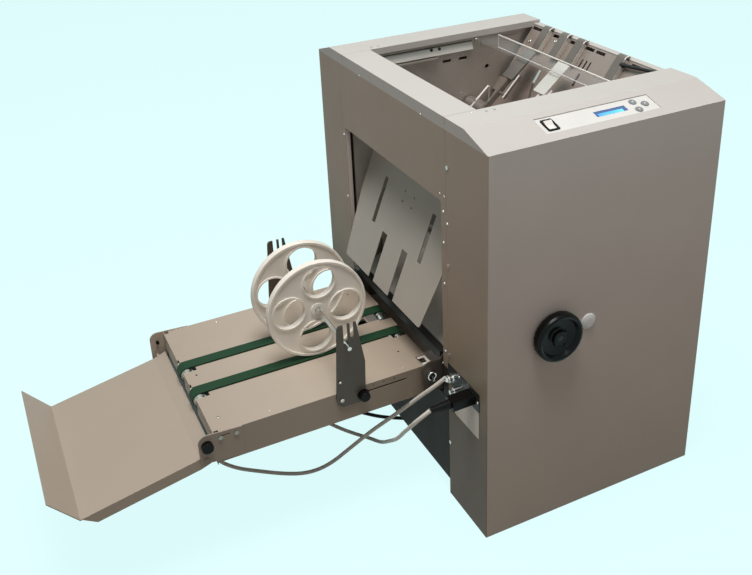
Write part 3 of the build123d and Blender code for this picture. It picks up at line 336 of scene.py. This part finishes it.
def display(name):
    """Blue display: a lit field inside a dark surround, set out on the sloped strip."""
    f = Finish(name, Coat_Weight=1.0, Coat_Roughness=0.05)
    x, y, _ = f.parts()
    low, high = at(213.6, 30.7, 0), at(259.6, 37.3, 0)
    inside = x.above(low.x) * x.below(high.x) * y.above(low.y) * y.below(high.y)
    tone = f.noise(30.0) * 0.5
    run = (x - at(238.1, 0, 0).x) * 14.0 + tone + 0.2
    lit = f.ramp(run, [(0.0, (0.03, 0.24, 0.72)), (0.8, (0.10, 0.62, 0.86))])
    f.base(f.blend(inside, (0.012, 0.05, 0.24), lit))
    f.put(f.shader, "Emission Color", f.blend(inside, (0.004, 0.03, 0.14), lit))
    f.put(f.shader, "Emission Strength", 0.35)
    f.rough(0.2)
    return f.material


def clear_sheet(name):
    """Clear acrylic: mostly let through, with gloss and a faint grey."""
    f = Finish(name, Roughness=0.03, IOR=1.49, Alpha=0.04)
    f.base(f.ramp(f.noise(40.0), [(0.3, (0.80, 0.83, 0.83)), (0.7, (0.88, 0.90, 0.90))]))
    return f.material


# The casing paint carries painted shade and a painted-light top tone.
paint = casing_paint_with_painted_shade("casing paint")
# Dark paint of the lower panel; also the painted shade of the end shade sheet.
dark_paint_and_shade = powder_coat("lower panel paint", (0.030, 0.0245, 0.020), 0.55, shine=0.08)
beige = powder_coat("chute paint", (0.42, 0.385, 0.34))
deck_paint_with_painted_shade = deck_coat_with_painted_shade("conveyor paint")
plate_zinc = bare_metal("plate zinc", (0.34, 0.27, 0.235), 0.5, (1, 12, 1), metallic=0.5)
# A paler copy of the zinc sheet, painted light for the lit hem ledge and the arms' lit near sides.
zinc_painted_light = bare_metal("pale zinc", (0.62, 0.575, 0.53), 0.5, (12, 1, 1), metallic=0.2)
zinc = bare_metal("zinc sheet", (0.44, 0.39, 0.35), 0.48, (1, 12, 1), metallic=0.5)
dark_zinc = bare_metal("dark bracket steel", (0.088, 0.066, 0.052), 0.5, (6, 1, 1), metallic=0.25)
bright = bare_metal("ground steel", (0.62, 0.56, 0.52), 0.24, (1, 1, 8))
arm_steel = bare_metal("guide arm steel", (0.19, 0.155, 0.135), 0.42, (1, 10, 1), metallic=0.5)
heads = head_steel_lit_and_shaded("head steel")
machined = bare_metal("machined steel", (0.40, 0.355, 0.325), 0.34, (1, 10, 1), metallic=0.75)
chrome = bare_metal("chrome", (0.80, 0.74, 0.72), 0.16)
screw_zinc = bare_metal("screw zinc", (0.56, 0.51, 0.48), 0.3)
dull_zinc = bare_metal("dull screw zinc", (0.27, 0.235, 0.20), 0.42)
# Satin black for black parts; also the painted shade of the shade sheets, the gap line and the roller well.
black_paint = moulding("satin black", (0.020, 0.018, 0.017), 0.42, shine=0.25)
black_plastic = moulding("black moulding", (0.005, 0.0045, 0.004), 0.27, shine=0.12)
black_rubber = moulding("black rubber", (0.014, 0.014, 0.014), 0.6, shine=0.15)
cable_grey = moulding("grey sheath", (0.80, 0.76, 0.70), 0.5, 0.00006, 400.0)
wheel_white = moulding("wheel moulding", (0.92, 0.87, 0.79), 0.48)
cap_white = moulding("cap moulding", (0.74, 0.72, 0.71), 0.42)
fascia_film = moulding("fascia film", (0.70, 0.69, 0.67), 0.4)
switch_white = moulding("switch moulding", (0.82, 0.80, 0.77), 0.25)
button_grey = moulding("button moulding", (0.22, 0.23, 0.235), 0.3)
pale_mark = moulding("button mark", (0.70, 0.70, 0.68), 0.4)
pale_plate = moulding("blank plate", (0.76, 0.69, 0.62), 0.4)
belt_green = belt_cloth("belt cover", (0.010, 0.040, 0.016))
lcd = display("display")
acrylic = clear_sheet("clear acrylic")
# Pale strips standing for the light the acrylic's edges catch: painted highlight.
acrylic_edge_highlight = moulding("acrylic edge", (0.86, 0.83, 0.79), 0.2)
# Pale moulding for the bright glints on thin rods, pins and bent edges: painted highlight.
painted_highlight = moulding("polished edge", (0.90, 0.86, 0.82), 0.2)

WEARS = {
    paint: ["operator_cover", "far_cover", "outlet_panel", "infeed_panel"],
    zinc: ["base_plate", "frame_near", "frame_far", "tie_bars", "lower_guide"],
    plate_zinc: ["infeed_plate"],
    dark_zinc: ["outlet_brackets", "bracket_near", "bracket_far"],
    black_paint: ["outlet_bar", "conveyor_motor", "end_sensor", "inlet_plate", "handwheel_shaft"],
    beige: ["chute_plate"],
    deck_paint_with_painted_shade: ["conveyor_table", "catch_tray", "end_plates"],
    arm_steel: ["infeed_arms"],
    bright: ["fold_knife", "format_stop", "wheel_axle", "drive_roller", "idler_roller"],
    heads: ["stitch_unit"],
    machined: ["fold_roller_upper", "fold_roller_lower"],
    fascia_film: ["control_fascia"],
    lcd: ["lcd_window"],
    black_plastic: ["switch_bezel", "handwheel", "tray_knob_near", "tray_knob_far", "clamp_knob_near",
                    "clamp_knob_far", "inlet_plug", "wall_plug"],
    switch_white: ["rocker_switch"],
    button_grey: ["button_left", "button_right", "button_lower"],
    pale_plate: ["blank_plate"],
    cap_white: ["blank_cap"],
    screw_zinc: ["cover_screws"],
    dull_zinc: ["conveyor_screws"],
    chrome: ["cable_socket"],
    acrylic: ["acrylic_cover"],
    belt_green: ["conveyor_belts"],
    wheel_white: ["wheel_near", "wheel_far"],
    cable_grey: ["motor_cable", "mains_cable", "mains_coil"],
    black_rubber: ["rubber_feet", "control_cable"],
    dark_paint_and_shade: ["lower_panel"],
}
for material, names in WEARS.items():
    for name in names:
        mesh = nodes[name].data
        mesh.materials.clear()
        mesh.materials.append(material)


# ---- pieces made as surfaces -------------------------------------------------------------------
def wrapped_quads(rows, cols):
    """Quads between neighbouring rows of a grid of points whose rows are closed rings."""
    i, j = np.meshgrid(np.arange(rows - 1), np.arange(cols), indexing="ij")
    k = (j + 1) % cols
    return np.stack([i * cols + j, (i + 1) * cols + j, (i + 1) * cols + k, i * cols + k], -1).reshape(-1, 4)


def mesh_piece(name, points, faces, material, body, smooth):
    """Mesh from points and faces, with its poles merged and its faces turned outwards."""
    mesh = bpy.data.meshes.new(name)
    mesh.from_pydata(np.asarray(points).tolist(), [], [list(face) for face in faces])
    work = bmesh.new()
    work.from_mesh(mesh)
    bmesh.ops.remove_doubles(work, verts=work.verts, dist=1e-7)
    bmesh.ops.recalc_face_normals(work, faces=work.faces)
    work.to_mesh(mesh)
    work.free()
    mesh.polygons.foreach_set("use_smooth", np.full(len(mesh.polygons), smooth))
    mesh.materials.append(material)
    piece = bpy.data.objects.new(name, mesh)
    bpy.context.scene.collection.objects.link(piece)
    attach(piece, body)


def turned(name, centre, axis, profile, material, body, sides=24):
    """A profile of (radius, height) pairs turned round an axis through the centre: each point is the
    centre, plus its height along the axis, plus its radius along a direction that goes round the axis."""
    axis = Vector(axis).normalized()
    side = axis.orthogonal().normalized()
    other = axis.cross(side)
    profile = np.array(profile, float) * MM
    angle = np.linspace(0, 2 * np.pi, sides, endpoint=False)
    ring = np.outer(np.cos(angle), side) + np.outer(np.sin(angle), other)
    grid = (np.array(centre) + profile[:, 1][:, None, None] * np.array(axis)
            + profile[:, 0][:, None, None] * ring[None])
    quads = wrapped_quads(*grid.shape[:2])
    mesh_piece(name, grid.reshape(-1, 3), quads, material, body, smooth=True)


def carried(name, path, up, profile, material, body):
    """A closed outline of (side, up) pairs carried along a path, mitred at its corners, with flat ends:
    each point is a path point, plus the pair's first number sideways and its second one upwards."""
    path = np.array([at(*point) for point in path])
    step = np.diff(path, axis=0)
    step /= np.linalg.norm(step, axis=1, keepdims=True)
    ahead = np.vstack([step[:1], step[:-1] + step[1:], step[-1:]])
    ahead /= np.linalg.norm(ahead, axis=1, keepdims=True)
    mitre = 1 / (ahead[:-1] * step).sum(1)
    side = np.cross(ahead, up)
    side /= np.linalg.norm(side, axis=1, keepdims=True)
    rise = np.cross(side, ahead)
    side *= np.append(mitre, 1.0)[:, None]
    outline = np.array(profile, float) * MM
    grid = path[:, None] + outline[None, :, :1] * side[:, None] + outline[None, :, 1:] * rise[:, None]
    rows, cols = grid.shape[:2]
    ends = [list(range(cols)), list(range((rows - 1) * cols, rows * cols))]
    faces = wrapped_quads(rows, cols).tolist() + ends
    mesh_piece(name, grid.reshape(-1, 3), faces, material, body, smooth=False)


def softened(wide, tall, edge=0.3):
    """Rectangle outline with its corners cut, by less than a third of its shorter side."""
    w, t = wide / 2, tall / 2
    e = min(edge, w * 0.6, t * 0.6)
    right = [(w, t - e), (w - e, t)]
    left = [(e - w, t), (-w, t - e), (-w, e - t), (e - w, -t)]
    return right + left + [(w - e, -t), (w, e - t)]


def ringed(radius):
    """Round outline of twelve points, each at radius times the cosine and sine of its angle."""
    angle = np.linspace(0, 2 * np.pi, 12, endpoint=False)
    return np.stack([radius * np.cos(angle), radius * np.sin(angle)], 1)


# Half outlines for turned(), in millimetres: a screw head with a socket, a pin's dome, a flat button,
# the drive roller's ring and its well, and the arm bar's grip.
HEAD = [(0, 0.5), (1.1, 0.5), (1.15, 1.5), (2.2, 1.5), (3.0, 1.0), (3.3, 0.2), (3.3, -0.2), (0, -0.2)]
DOME = [(0, 3.0), (2.0, 2.7), (3.6, 1.6), (4.2, 0.0), (0, 0.0)]
BUTTON = [(0, 1.2), (2.6, 1.0), (3.4, 0.3), (3.4, -0.6), (0, -0.6)]
RING = [(5.6, -0.2), (5.6, 0.5), (8.9, 0.5), (8.9, -0.2), (5.6, -0.2)]
WELL = [(0, 0.4), (5.2, 0.4), (5.2, -0.4), (0, -0.4)]
GRIP = [(0, 4), (3, 4), (4.6, 2), (4.6, -5), (3, -7), (0, -7)]


def screw(name, centre, axis, body, size):
    """The screw head with its radii and heights times size."""
    profile = [(r * size, h * size) for r, h in HEAD]
    turned(name, centre, axis, profile, screw_zinc, body, sides=20)


# ---- small fittings ----------------------------------------------------------------------------
LEFT, RIGHTWARD, NEAR, FAR, UP = (-1, 0, 0), (1, 0, 0), (0, -1, 0), (0, 1, 0), (0, 0, 1)
# Kind, axis, body and size, with the screws' places in millimetres, as at() takes them.
SCREWS = {
    ("panel", LEFT, "cabinet", 0.8): [(0, 131, 560), (0, 131, 505), (0, 131, 430), (0, 131, 300),
                                      (0, 515, 560), (0, 515, 430), (0, 515, 300), (0, 118.8, 543.3)],
    ("rivet", LEFT, "cabinet", 0.5): [(0, 141, 587), (0, 127, 587), (0, 200, 700), (0, 430, 700)],
    ("inlet", LEFT, "cabinet", 0.7): [(-1.2, 26, 264), (-1.2, 65, 251), (-1.2, 84, 277), (-1.2, 117, 251)],
    ("hinge_plate", NEAR, "cabinet", 0.8): [(-14, 150, 243), (-13, 150, 232), (6, 150, 262)],
    ("far_cover", FAR, "cabinet", 1.1): [(x, 618, z) for x in (22, 410) for z in (40, 360, 680)],
    ("infeed", RIGHTWARD, "cabinet", 1.1): [(432, y, z) for y in (132, 511) for z in (60, 360, 660)],
    ("deck", UP, "conveyor", 0.6): [(-60, 175, 259), (-60, 472, 259), (-300, 175, 259), (-300, 472, 259)],
    ("tray_side", NEAR, "catch_tray", 0.6): [(-421, 164.5, 209)],
    ("top_strip", UP, "cabinet", 0.5): [(44, 118, 719), (44, 512, 719)],
    ("plate", (-0.8, 0, 0.6), "cabinet", 1.1): [(397.7, 487.2, 684), (408.4, 416.6, 698.1)],
}
for (kind, axis, body, size), places in SCREWS.items():
    for number, place in enumerate(places):
        screw(f"screw_{kind}_{number}", at(*place), axis, body, size)

# Thin strips, rods and bars: name, body, material, slot, outline, direction of the outline's up, and
# path, as at() takes it.
STRIPS = [
    # Painted highlight: pale strips along the acrylic sheet's bend, lower and far edges.
    ("acrylic_edge_bend", "acrylic_cover", acrylic_edge_highlight, "acrylic_clear", softened(2.4, 2.4), UP,
     [(333.6, 131.5, 703.6), (333.6, 500.5, 703.6)]),
    ("acrylic_edge_low", "acrylic_cover", acrylic_edge_highlight, "acrylic_clear", softened(1.6, 1.6), UP,
     [(333.7, 131.5, 678.8), (333.7, 500.5, 678.8)]),
    ("acrylic_edge_far", "acrylic_cover", acrylic_edge_highlight, "acrylic_clear", softened(0.9, 0.9), NEAR,
     [(333.7, 501.2, 679), (333.7, 501.2, 703.4)]),
    # Painted light: the far hem ledge is drawn in the paler zinc.
    ("far_hem", "cabinet", zinc_painted_light, "zinc_steel", softened(1.0, 15, 0.4), (0, 0.33, 0.944),
     [(30, 510.6, 689), (280, 510.6, 689)]),
    ("far_hem_end", "cabinet", zinc, "zinc_steel", softened(1.4, 14, 0.5), UP,
     [(301, 513.2, 689), (392, 513.2, 689)]),
    # Painted shadow: a thin black line for the shadow gap under the far lip.
    ("far_bead", "cabinet", black_paint, "zinc_steel", softened(1.0, 1.2), UP,
     [(30, 513.2, 698.4), (280, 513.2, 698.4)]),
    ("gap_plate", "conveyor", machined, "conveyor_paint", softened(20, 0.8), UP,
     [(-50, 341.5, 257.9), (-31.5, 341.5, 257.9)]),
    ("gap_lip", "conveyor", screw_zinc, "conveyor_paint", softened(1.4, 1.8), UP,
     [(-50, 351.0, 258.9), (-31.5, 351.0, 258.9)]),
    ("corner_clip", "conveyor", pale_plate, "conveyor_paint", softened(5, 1.4), UP,
     [(-25, 187, 258.2), (-12, 187, 258.2), (-12, 168, 258.2), (-25, 168, 258.2)]),
    ("arm_bar", "cabinet", black_paint, "black_paint", ringed(3.2), UP,
     [(409.5, 132, 712.5), (404, 212, 705.5)]),
    ("fold_guide", "cabinet", bright, "zinc_dark", softened(6, 1.2), UP,
     [(330, 352, 672), (315, 352, 650), (305, 352, 618)]),
    ("corner_gusset", "cabinet", zinc, "zinc_steel", [(-18, 32), (3, -31), (18, -20), (18, 32)], UP,
     [(410, 514.7, 672), (410, 515.9, 672)]),
    # Painted highlight: the guide wire is drawn bright, in the pale glint moulding.
    ("guide_wire", "cabinet", painted_highlight, "polished_steel", ringed(1.5), UP,
     [(205, 401, 604), (247.8, 401, 643), (253, 404, 640), (262, 421.5, 604)]),
    ("guide_tab", "cabinet", zinc, "zinc_steel", softened(3.0, 1.6), UP,
     [(190, 401, 640.7), (222, 401, 619.5)]),
    # Painted shade: dark sheets hung where the gaps beside and under the conveyor show only shadow.
    ("end_shade", "conveyor", dark_paint_and_shade, "conveyor_paint", softened(1.0, 34), UP,
     [(-395.6, 166, 212), (-395.6, 482, 212)]),
    ("slot_shade", "conveyor", black_paint, "black_paint", softened(1.0, 28), UP,
     [(-186, 180, 240), (-50, 180, 240)]),
    ("drum_shade_near", "conveyor", black_paint, "black_paint", softened(1.0, 28), UP,
     [(-375, 300, 238), (-346, 300, 238)]),
    ("drum_shade_far", "conveyor", black_paint, "black_paint", softened(1.0, 28), UP,
     [(-375, 384, 238), (-346, 384, 238)]),
]


def sloped(s, v, y):
    """Point at s down the slanted infeed path, v above it and y across."""
    return (418 - 0.6 * s - 0.8 * v, y, 711 - 0.8 * s + 0.6 * v)


ARM_Y, ARM_HALF = (225.0, 341.5, 391.0, 448.0), 10.5
ARM_CURL = [(4, 10.5), (1, 10.5), (-1.6, 9.6), (-3.6, 8.4), (-5.2, 6.6), (-6.3, 4.2), (-7, 1)]
OFF_PLATE = (-0.8, 0, 0.6)
# Painted light: each arm gets a pale strip on its near side, and a bright strip along its curled end as
# painted highlight.
for number, y in enumerate(ARM_Y):
    STRIPS += [
        (f"arm_side_{number}", "cabinet", zinc_painted_light, "zinc_steel", softened(0.7, 9.6, 0.2), OFF_PLATE,
         [sloped(47, 5.2, y - ARM_HALF - 0.5), sloped(2, 5.2, y - ARM_HALF - 0.5)]),
        (f"arm_curl_{number}", "cabinet", painted_highlight, "zinc_steel", softened(1.5, 2.0), NEAR,
         [sloped(s, v - 0.6, y - ARM_HALF - 1.0) for s, v in ARM_CURL]),
    ]
# Painted highlight: the head wires are drawn bright, in the pale glint moulding.
for number, y in enumerate((320.0, 425.0)):
    STRIPS.append((f"head_wire_{number}", "cabinet", painted_highlight, "polished_steel", ringed(1.4), NEAR,
                   [(280.6, y - 24, 613.4), (316.8, y - 24, 651.2)]))
for name, body, material, slot, outline, up, path in STRIPS:
    carried(name, path, up, outline, material, body)

turned("hinge_pin_cap", at(290, 513.8, 700), NEAR, DOME, chrome, "cabinet")
for number, (x, z, size) in enumerate(((189.7, 693.5, 1.0), (207.2, 693.0, 1.0), (351.3, 695.2, 0.6))):
    turned(f"hem_plug_{number}", at(x, 511.6, z), NEAR, [(r * size, h) for r, h in BUTTON], black_paint,
           "cabinet")
# Painted highlight: the bracket pins are bright pale buttons.
for number, (x, z, size) in enumerate(((-181, 246.5, 1.05), (-182.5, 283, 0.64))):
    turned(f"bracket_pin_{number}", at(x, 156.0, z), NEAR, [(r * size, h) for r, h in BUTTON], painted_highlight,
           "carriage")
turned("roller_ring", at(-19, 143.3, 247), NEAR, RING, chrome, "drive_roller")
# Painted shade: a black disc darkens the recess inside the roller ring.
turned("roller_well", at(-19, 144.6, 247), NEAR, WELL, black_paint, "drive_roller")
turned("arm_bar_grip", at(404, 212, 705.5), (0, -1, 0.09), GRIP, black_paint, "cabinet")

STRIP_RISE, STRIP_RUN = 19.0, 67.0   # the control strip's slope
MARK_R, MARK_SINK, MARK_THICK = 2.4, -0.35, 0.12


def arrow(name, spot, turned_by, body):
    """Flat three-cornered mark on a button top, pointing the way its angle says."""
    slope = math.atan2(STRIP_RISE, STRIP_RUN)
    middle = at(214.5, 35.5, 700 + 35.5 * STRIP_RISE / STRIP_RUN)
    along, across = Vector((1, 0, 0)), Vector((0, math.cos(slope), math.sin(slope)))
    out = along.cross(across)
    centre = middle + MM * (spot[0] * along + spot[1] * across + MARK_SINK * out)
    corners = []
    for lift in (0.0, MARK_THICK):
        for step in range(3):
            angle = turned_by + step * 2 * math.pi / 3
            reach = MARK_R * (math.cos(angle) * along + math.sin(angle) * across)
            corners.append(centre + MM * (reach + lift * out))
    faces = [(2, 1, 0), (3, 4, 5), (0, 1, 4, 3), (1, 2, 5, 4), (2, 0, 3, 5)]
    mesh_piece(name, [tuple(c) for c in corners], faces, pale_mark, body, smooth=False)


arrow("mark_left", (71.0, 9.3), math.pi, "button_left")
arrow("mark_right", (87.7, -0.3), math.pi / 2, "button_right")
arrow("mark_lower", (69.3, -10.2), -math.pi / 2, "button_lower")

# ---- cords -------------------------------------------------------------------------------------
# Routes, bends and the coil are in millimetres, as at() takes them.
MOTOR_ROUTE = [(-14, 107, 265), (-26, 121, 244), (-38, 139, 221), (-50, 160, 194), (-63, 182, 165),
               (-78, 205, 135), (-97, 229, 103), (-118, 252, 68), (-138, 272, 36), (-158, 284, 13),
               (-185, 287, 3.5), (-216, 290, 3.5), (-249, 307, 3.5), (-287, 335, 3.5), (-326, 366, 3.5),
               (-357, 388, 21), (-366, 397, 67), (-367, 401, 116), (-366, 402, 165), (-366, 400, 213.5)]
MAINS_ROUTE = [(-77, 45, 264), (-94, 56, 244), (-97, 78, 216), (-95, 105, 186), (-90, 135, 152),
               (-83, 168, 119), (-74, 205, 86), (-65, 241, 54), (-58, 273, 26), (-57, 298, 8),
               (-66, 321, 3.5), (-84, 344, 3.5), (-102, 370, 3.5), (-119, 401, 3.5), (-134, 435, 3.5),
               (-145, 471, 3.5), (-152, 508, 3.5), (-156.7, 543, 3.5)]
CONTROL_ROUTE = [(14, 331, 14), (-12, 362, 3.5), (-43, 394, 3.5), (-71, 431, 3.5), (-93, 463, 24),
                 (-105, 470, 64), (-103, 458, 110), (-98, 446, 158), (-97, 436, 206)]
# Where each cord starts to bend with the conveyor, and where it is wholly the conveyor's.
MOTOR_BEND = [(-326, 366, 3.5), (-444.7, 425.3, 122.2)]
CONTROL_BEND = [(-97, 436, 24), (-97, 436, 206)]


def spline_line(obj):
    """Points of the smooth line, read from the curve itself."""
    bevel, obj.data.bevel_depth = obj.data.bevel_depth, 0.0
    bpy.context.view_layer.update()
    line = bpy.data.meshes.new_from_object(obj.evaluated_get(bpy.context.evaluated_depsgraph_get()))
    co = np.zeros(len(line.vertices) * 3)
    line.vertices.foreach_get("co", co)
    obj.data.bevel_depth = bevel
    return co.reshape(-1, 3)


def tube_of(cord_curve):
    """The curve's own tube as a mesh of the same name."""
    bpy.context.view_layer.update()
    seen = cord_curve.evaluated_get(bpy.context.evaluated_depsgraph_get())
    mesh = bpy.data.meshes.new_from_object(seen)
    mesh.name = name = cord_curve.name
    bpy.data.objects.remove(cord_curve)
    obj = bpy.data.objects.new(name, mesh)
    bpy.context.scene.collection.objects.link(obj)
    return obj


def cord(name, points, material, body, stands_for, bends=None):
    """A free cord on its route, put on the body. bends holds the other body and where the bending starts
    and ends; only whether it is given is used, and then the cord is made a mesh in world place on no body."""
    curve = bpy.data.curves.new(name, "CURVE")
    curve.dimensions = "3D"
    spline = curve.splines.new("NURBS")
    spline.points.add(len(points) - 1)
    for spot, point in zip(spline.points, points):
        spot.co = (*point, 1.0)
        spot.radius = CORD_R
    spline.order_u = 3
    spline.use_endpoint_u = True
    spline.resolution_u = 8
    curve.bevel_depth = 1.0
    curve.bevel_resolution = 5
    curve.use_fill_caps = True
    curve.materials.append(material)
    obj = bpy.data.objects.new(name, curve)
    bpy.context.scene.collection.objects.link(obj)
    line = spline_line(obj)
    if bends:
        obj = tube_of(obj)
        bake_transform(obj)
    else:
        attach(obj, body)
    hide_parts(*stands_for)


cord("cord_motor", [at(*p) for p in MOTOR_ROUTE], cable_grey, "cabinet", ["motor_cable"],
     bends=("conveyor", *(at(*p) for p in MOTOR_BEND)))
cord("cord_control", [at(*p) for p in CONTROL_ROUTE], black_rubber, "cabinet",
     ["control_cable"], bends=("conveyor", *(at(*p) for p in CONTROL_BEND)))

COIL = (-200.0, 545.0)          # its centre on the floor
TURNS, TURN_POINTS = 5.5, 16
OUTER, INNER = 43.3, 36.7       # radii of the two rings of cord
LAYERS = (3.5, 10.1, 16.7)      # heights of the three layers
TAIL = [(-243.3, 531, 17.2), (-243.3, 517, 18)]


def coil_points():
    """Five and a half turns: the radius and the height are stepped functions of the turn number."""
    turn = np.arange(1, int(TURNS * TURN_POINTS) + 1) / TURN_POINTS
    r = np.interp(turn, [0.65, 0.95, 2.65, 2.95, 3.75, 3.98, 4.65, 4.95],
                  [OUTER, INNER, INNER, OUTER, OUTER, INNER, INNER, OUTER])
    z = np.interp(turn, [1.7, 1.95, 3.6, 3.85], [LAYERS[0], LAYERS[1], LAYERS[1], LAYERS[2]])
    angle = 2 * np.pi * turn
    return [at(*p) for p in zip(COIL[0] + r * np.cos(angle), COIL[1] + r * np.sin(angle), z)]


mains_points = [at(*p) for p in MAINS_ROUTE] + coil_points() + [at(*p) for p in TAIL]
cord("cord_mains", mains_points, cable_grey, "cabinet", ["mains_cable", "mains_coil"])

# ---- floor and background ----------------------------------------------------------------------
PALE = (0.752, 1.0, 1.0)           # of the floor and the sky where they are looked at
FLOOR_TONE = (0.30, 0.27, 0.235)   # of the light the floor sends back
FLOOR_HALF = 14.0
GLOW, SHADOWED = 1.05, 0.10        # the floor's own light, and its share that takes shadows
SKY_TONE, SKY_LIGHT = (1.0, 0.955, 0.91), 0.17   # of the light the sky sends


def stage_sheet():
    """A flat floor that looks pale and still takes a faint shadow."""
    mesh = bpy.data.meshes.new("floor")
    r = FLOOR_HALF
    mesh.from_pydata([(-r, -r, 0), (r, -r, 0), (r, r, 0), (-r, r, 0)], [], [(0, 1, 2, 3)])
    obj = bpy.data.objects.new("floor", mesh)
    bpy.context.scene.collection.objects.link(obj)
    f = Finish("floor", Roughness=1.0, Specular_IOR_Level=0.0)
    f.base(FLOOR_TONE)
    glow = f.add("ShaderNodeEmission", None, {"Color": PALE, "Strength": GLOW})
    matt = f.add("ShaderNodeBsdfDiffuse", None, {"Color": PALE})
    pale = f.add("ShaderNodeMixShader", None, {
        0: SHADOWED, 1: Field(f, glow.outputs[0]), 2: Field(f, matt.outputs[0])})
    f.shown(f.shader, pale, f.tree.nodes["Material Output"])
    mesh.materials.append(f.material)


stage_sheet()


def lamp(name, place, aim, size, power, colour):
    """Rectangular area light at a place, turned to face a point."""
    data = bpy.data.lights.new(name, "AREA")
    data.shape = "RECTANGLE"
    data.size, data.size_y = size
    data.energy = power
    data.color = colour
    obj = bpy.data.objects.new(name, data)
    obj.location = place
    obj.rotation_euler = (Vector(aim) - Vector(place)).to_track_quat("-Z", "Y").to_euler()
    bpy.context.scene.collection.objects.link(obj)


lamp("key", (-0.55, -0.45, 3.3), (-0.1, 0.0, 0.4), (1.3, 1.3), 84, (1.0, 0.985, 0.96))
lamp("front", (-0.6, -3.2, 1.9), (0, 0, 0.4), (2.0, 1.5), 6.4, (1.0, 0.97, 0.94))

world = bpy.data.worlds.new("studio")
world.use_nodes = True
sky = Tree(world.node_tree)
sky.shown(sky.add("ShaderNodeBackground", None, {"Color": SKY_TONE, "Strength": SKY_LIGHT}),
          sky.add("ShaderNodeBackground", None, {"Color": PALE, "Strength": 1.0}),
          sky.tree.nodes["World Output"])
bpy.context.scene.world = world
bpy.context.scene.view_settings.view_transform = "Standard"

bpy.context.view_layer.update()
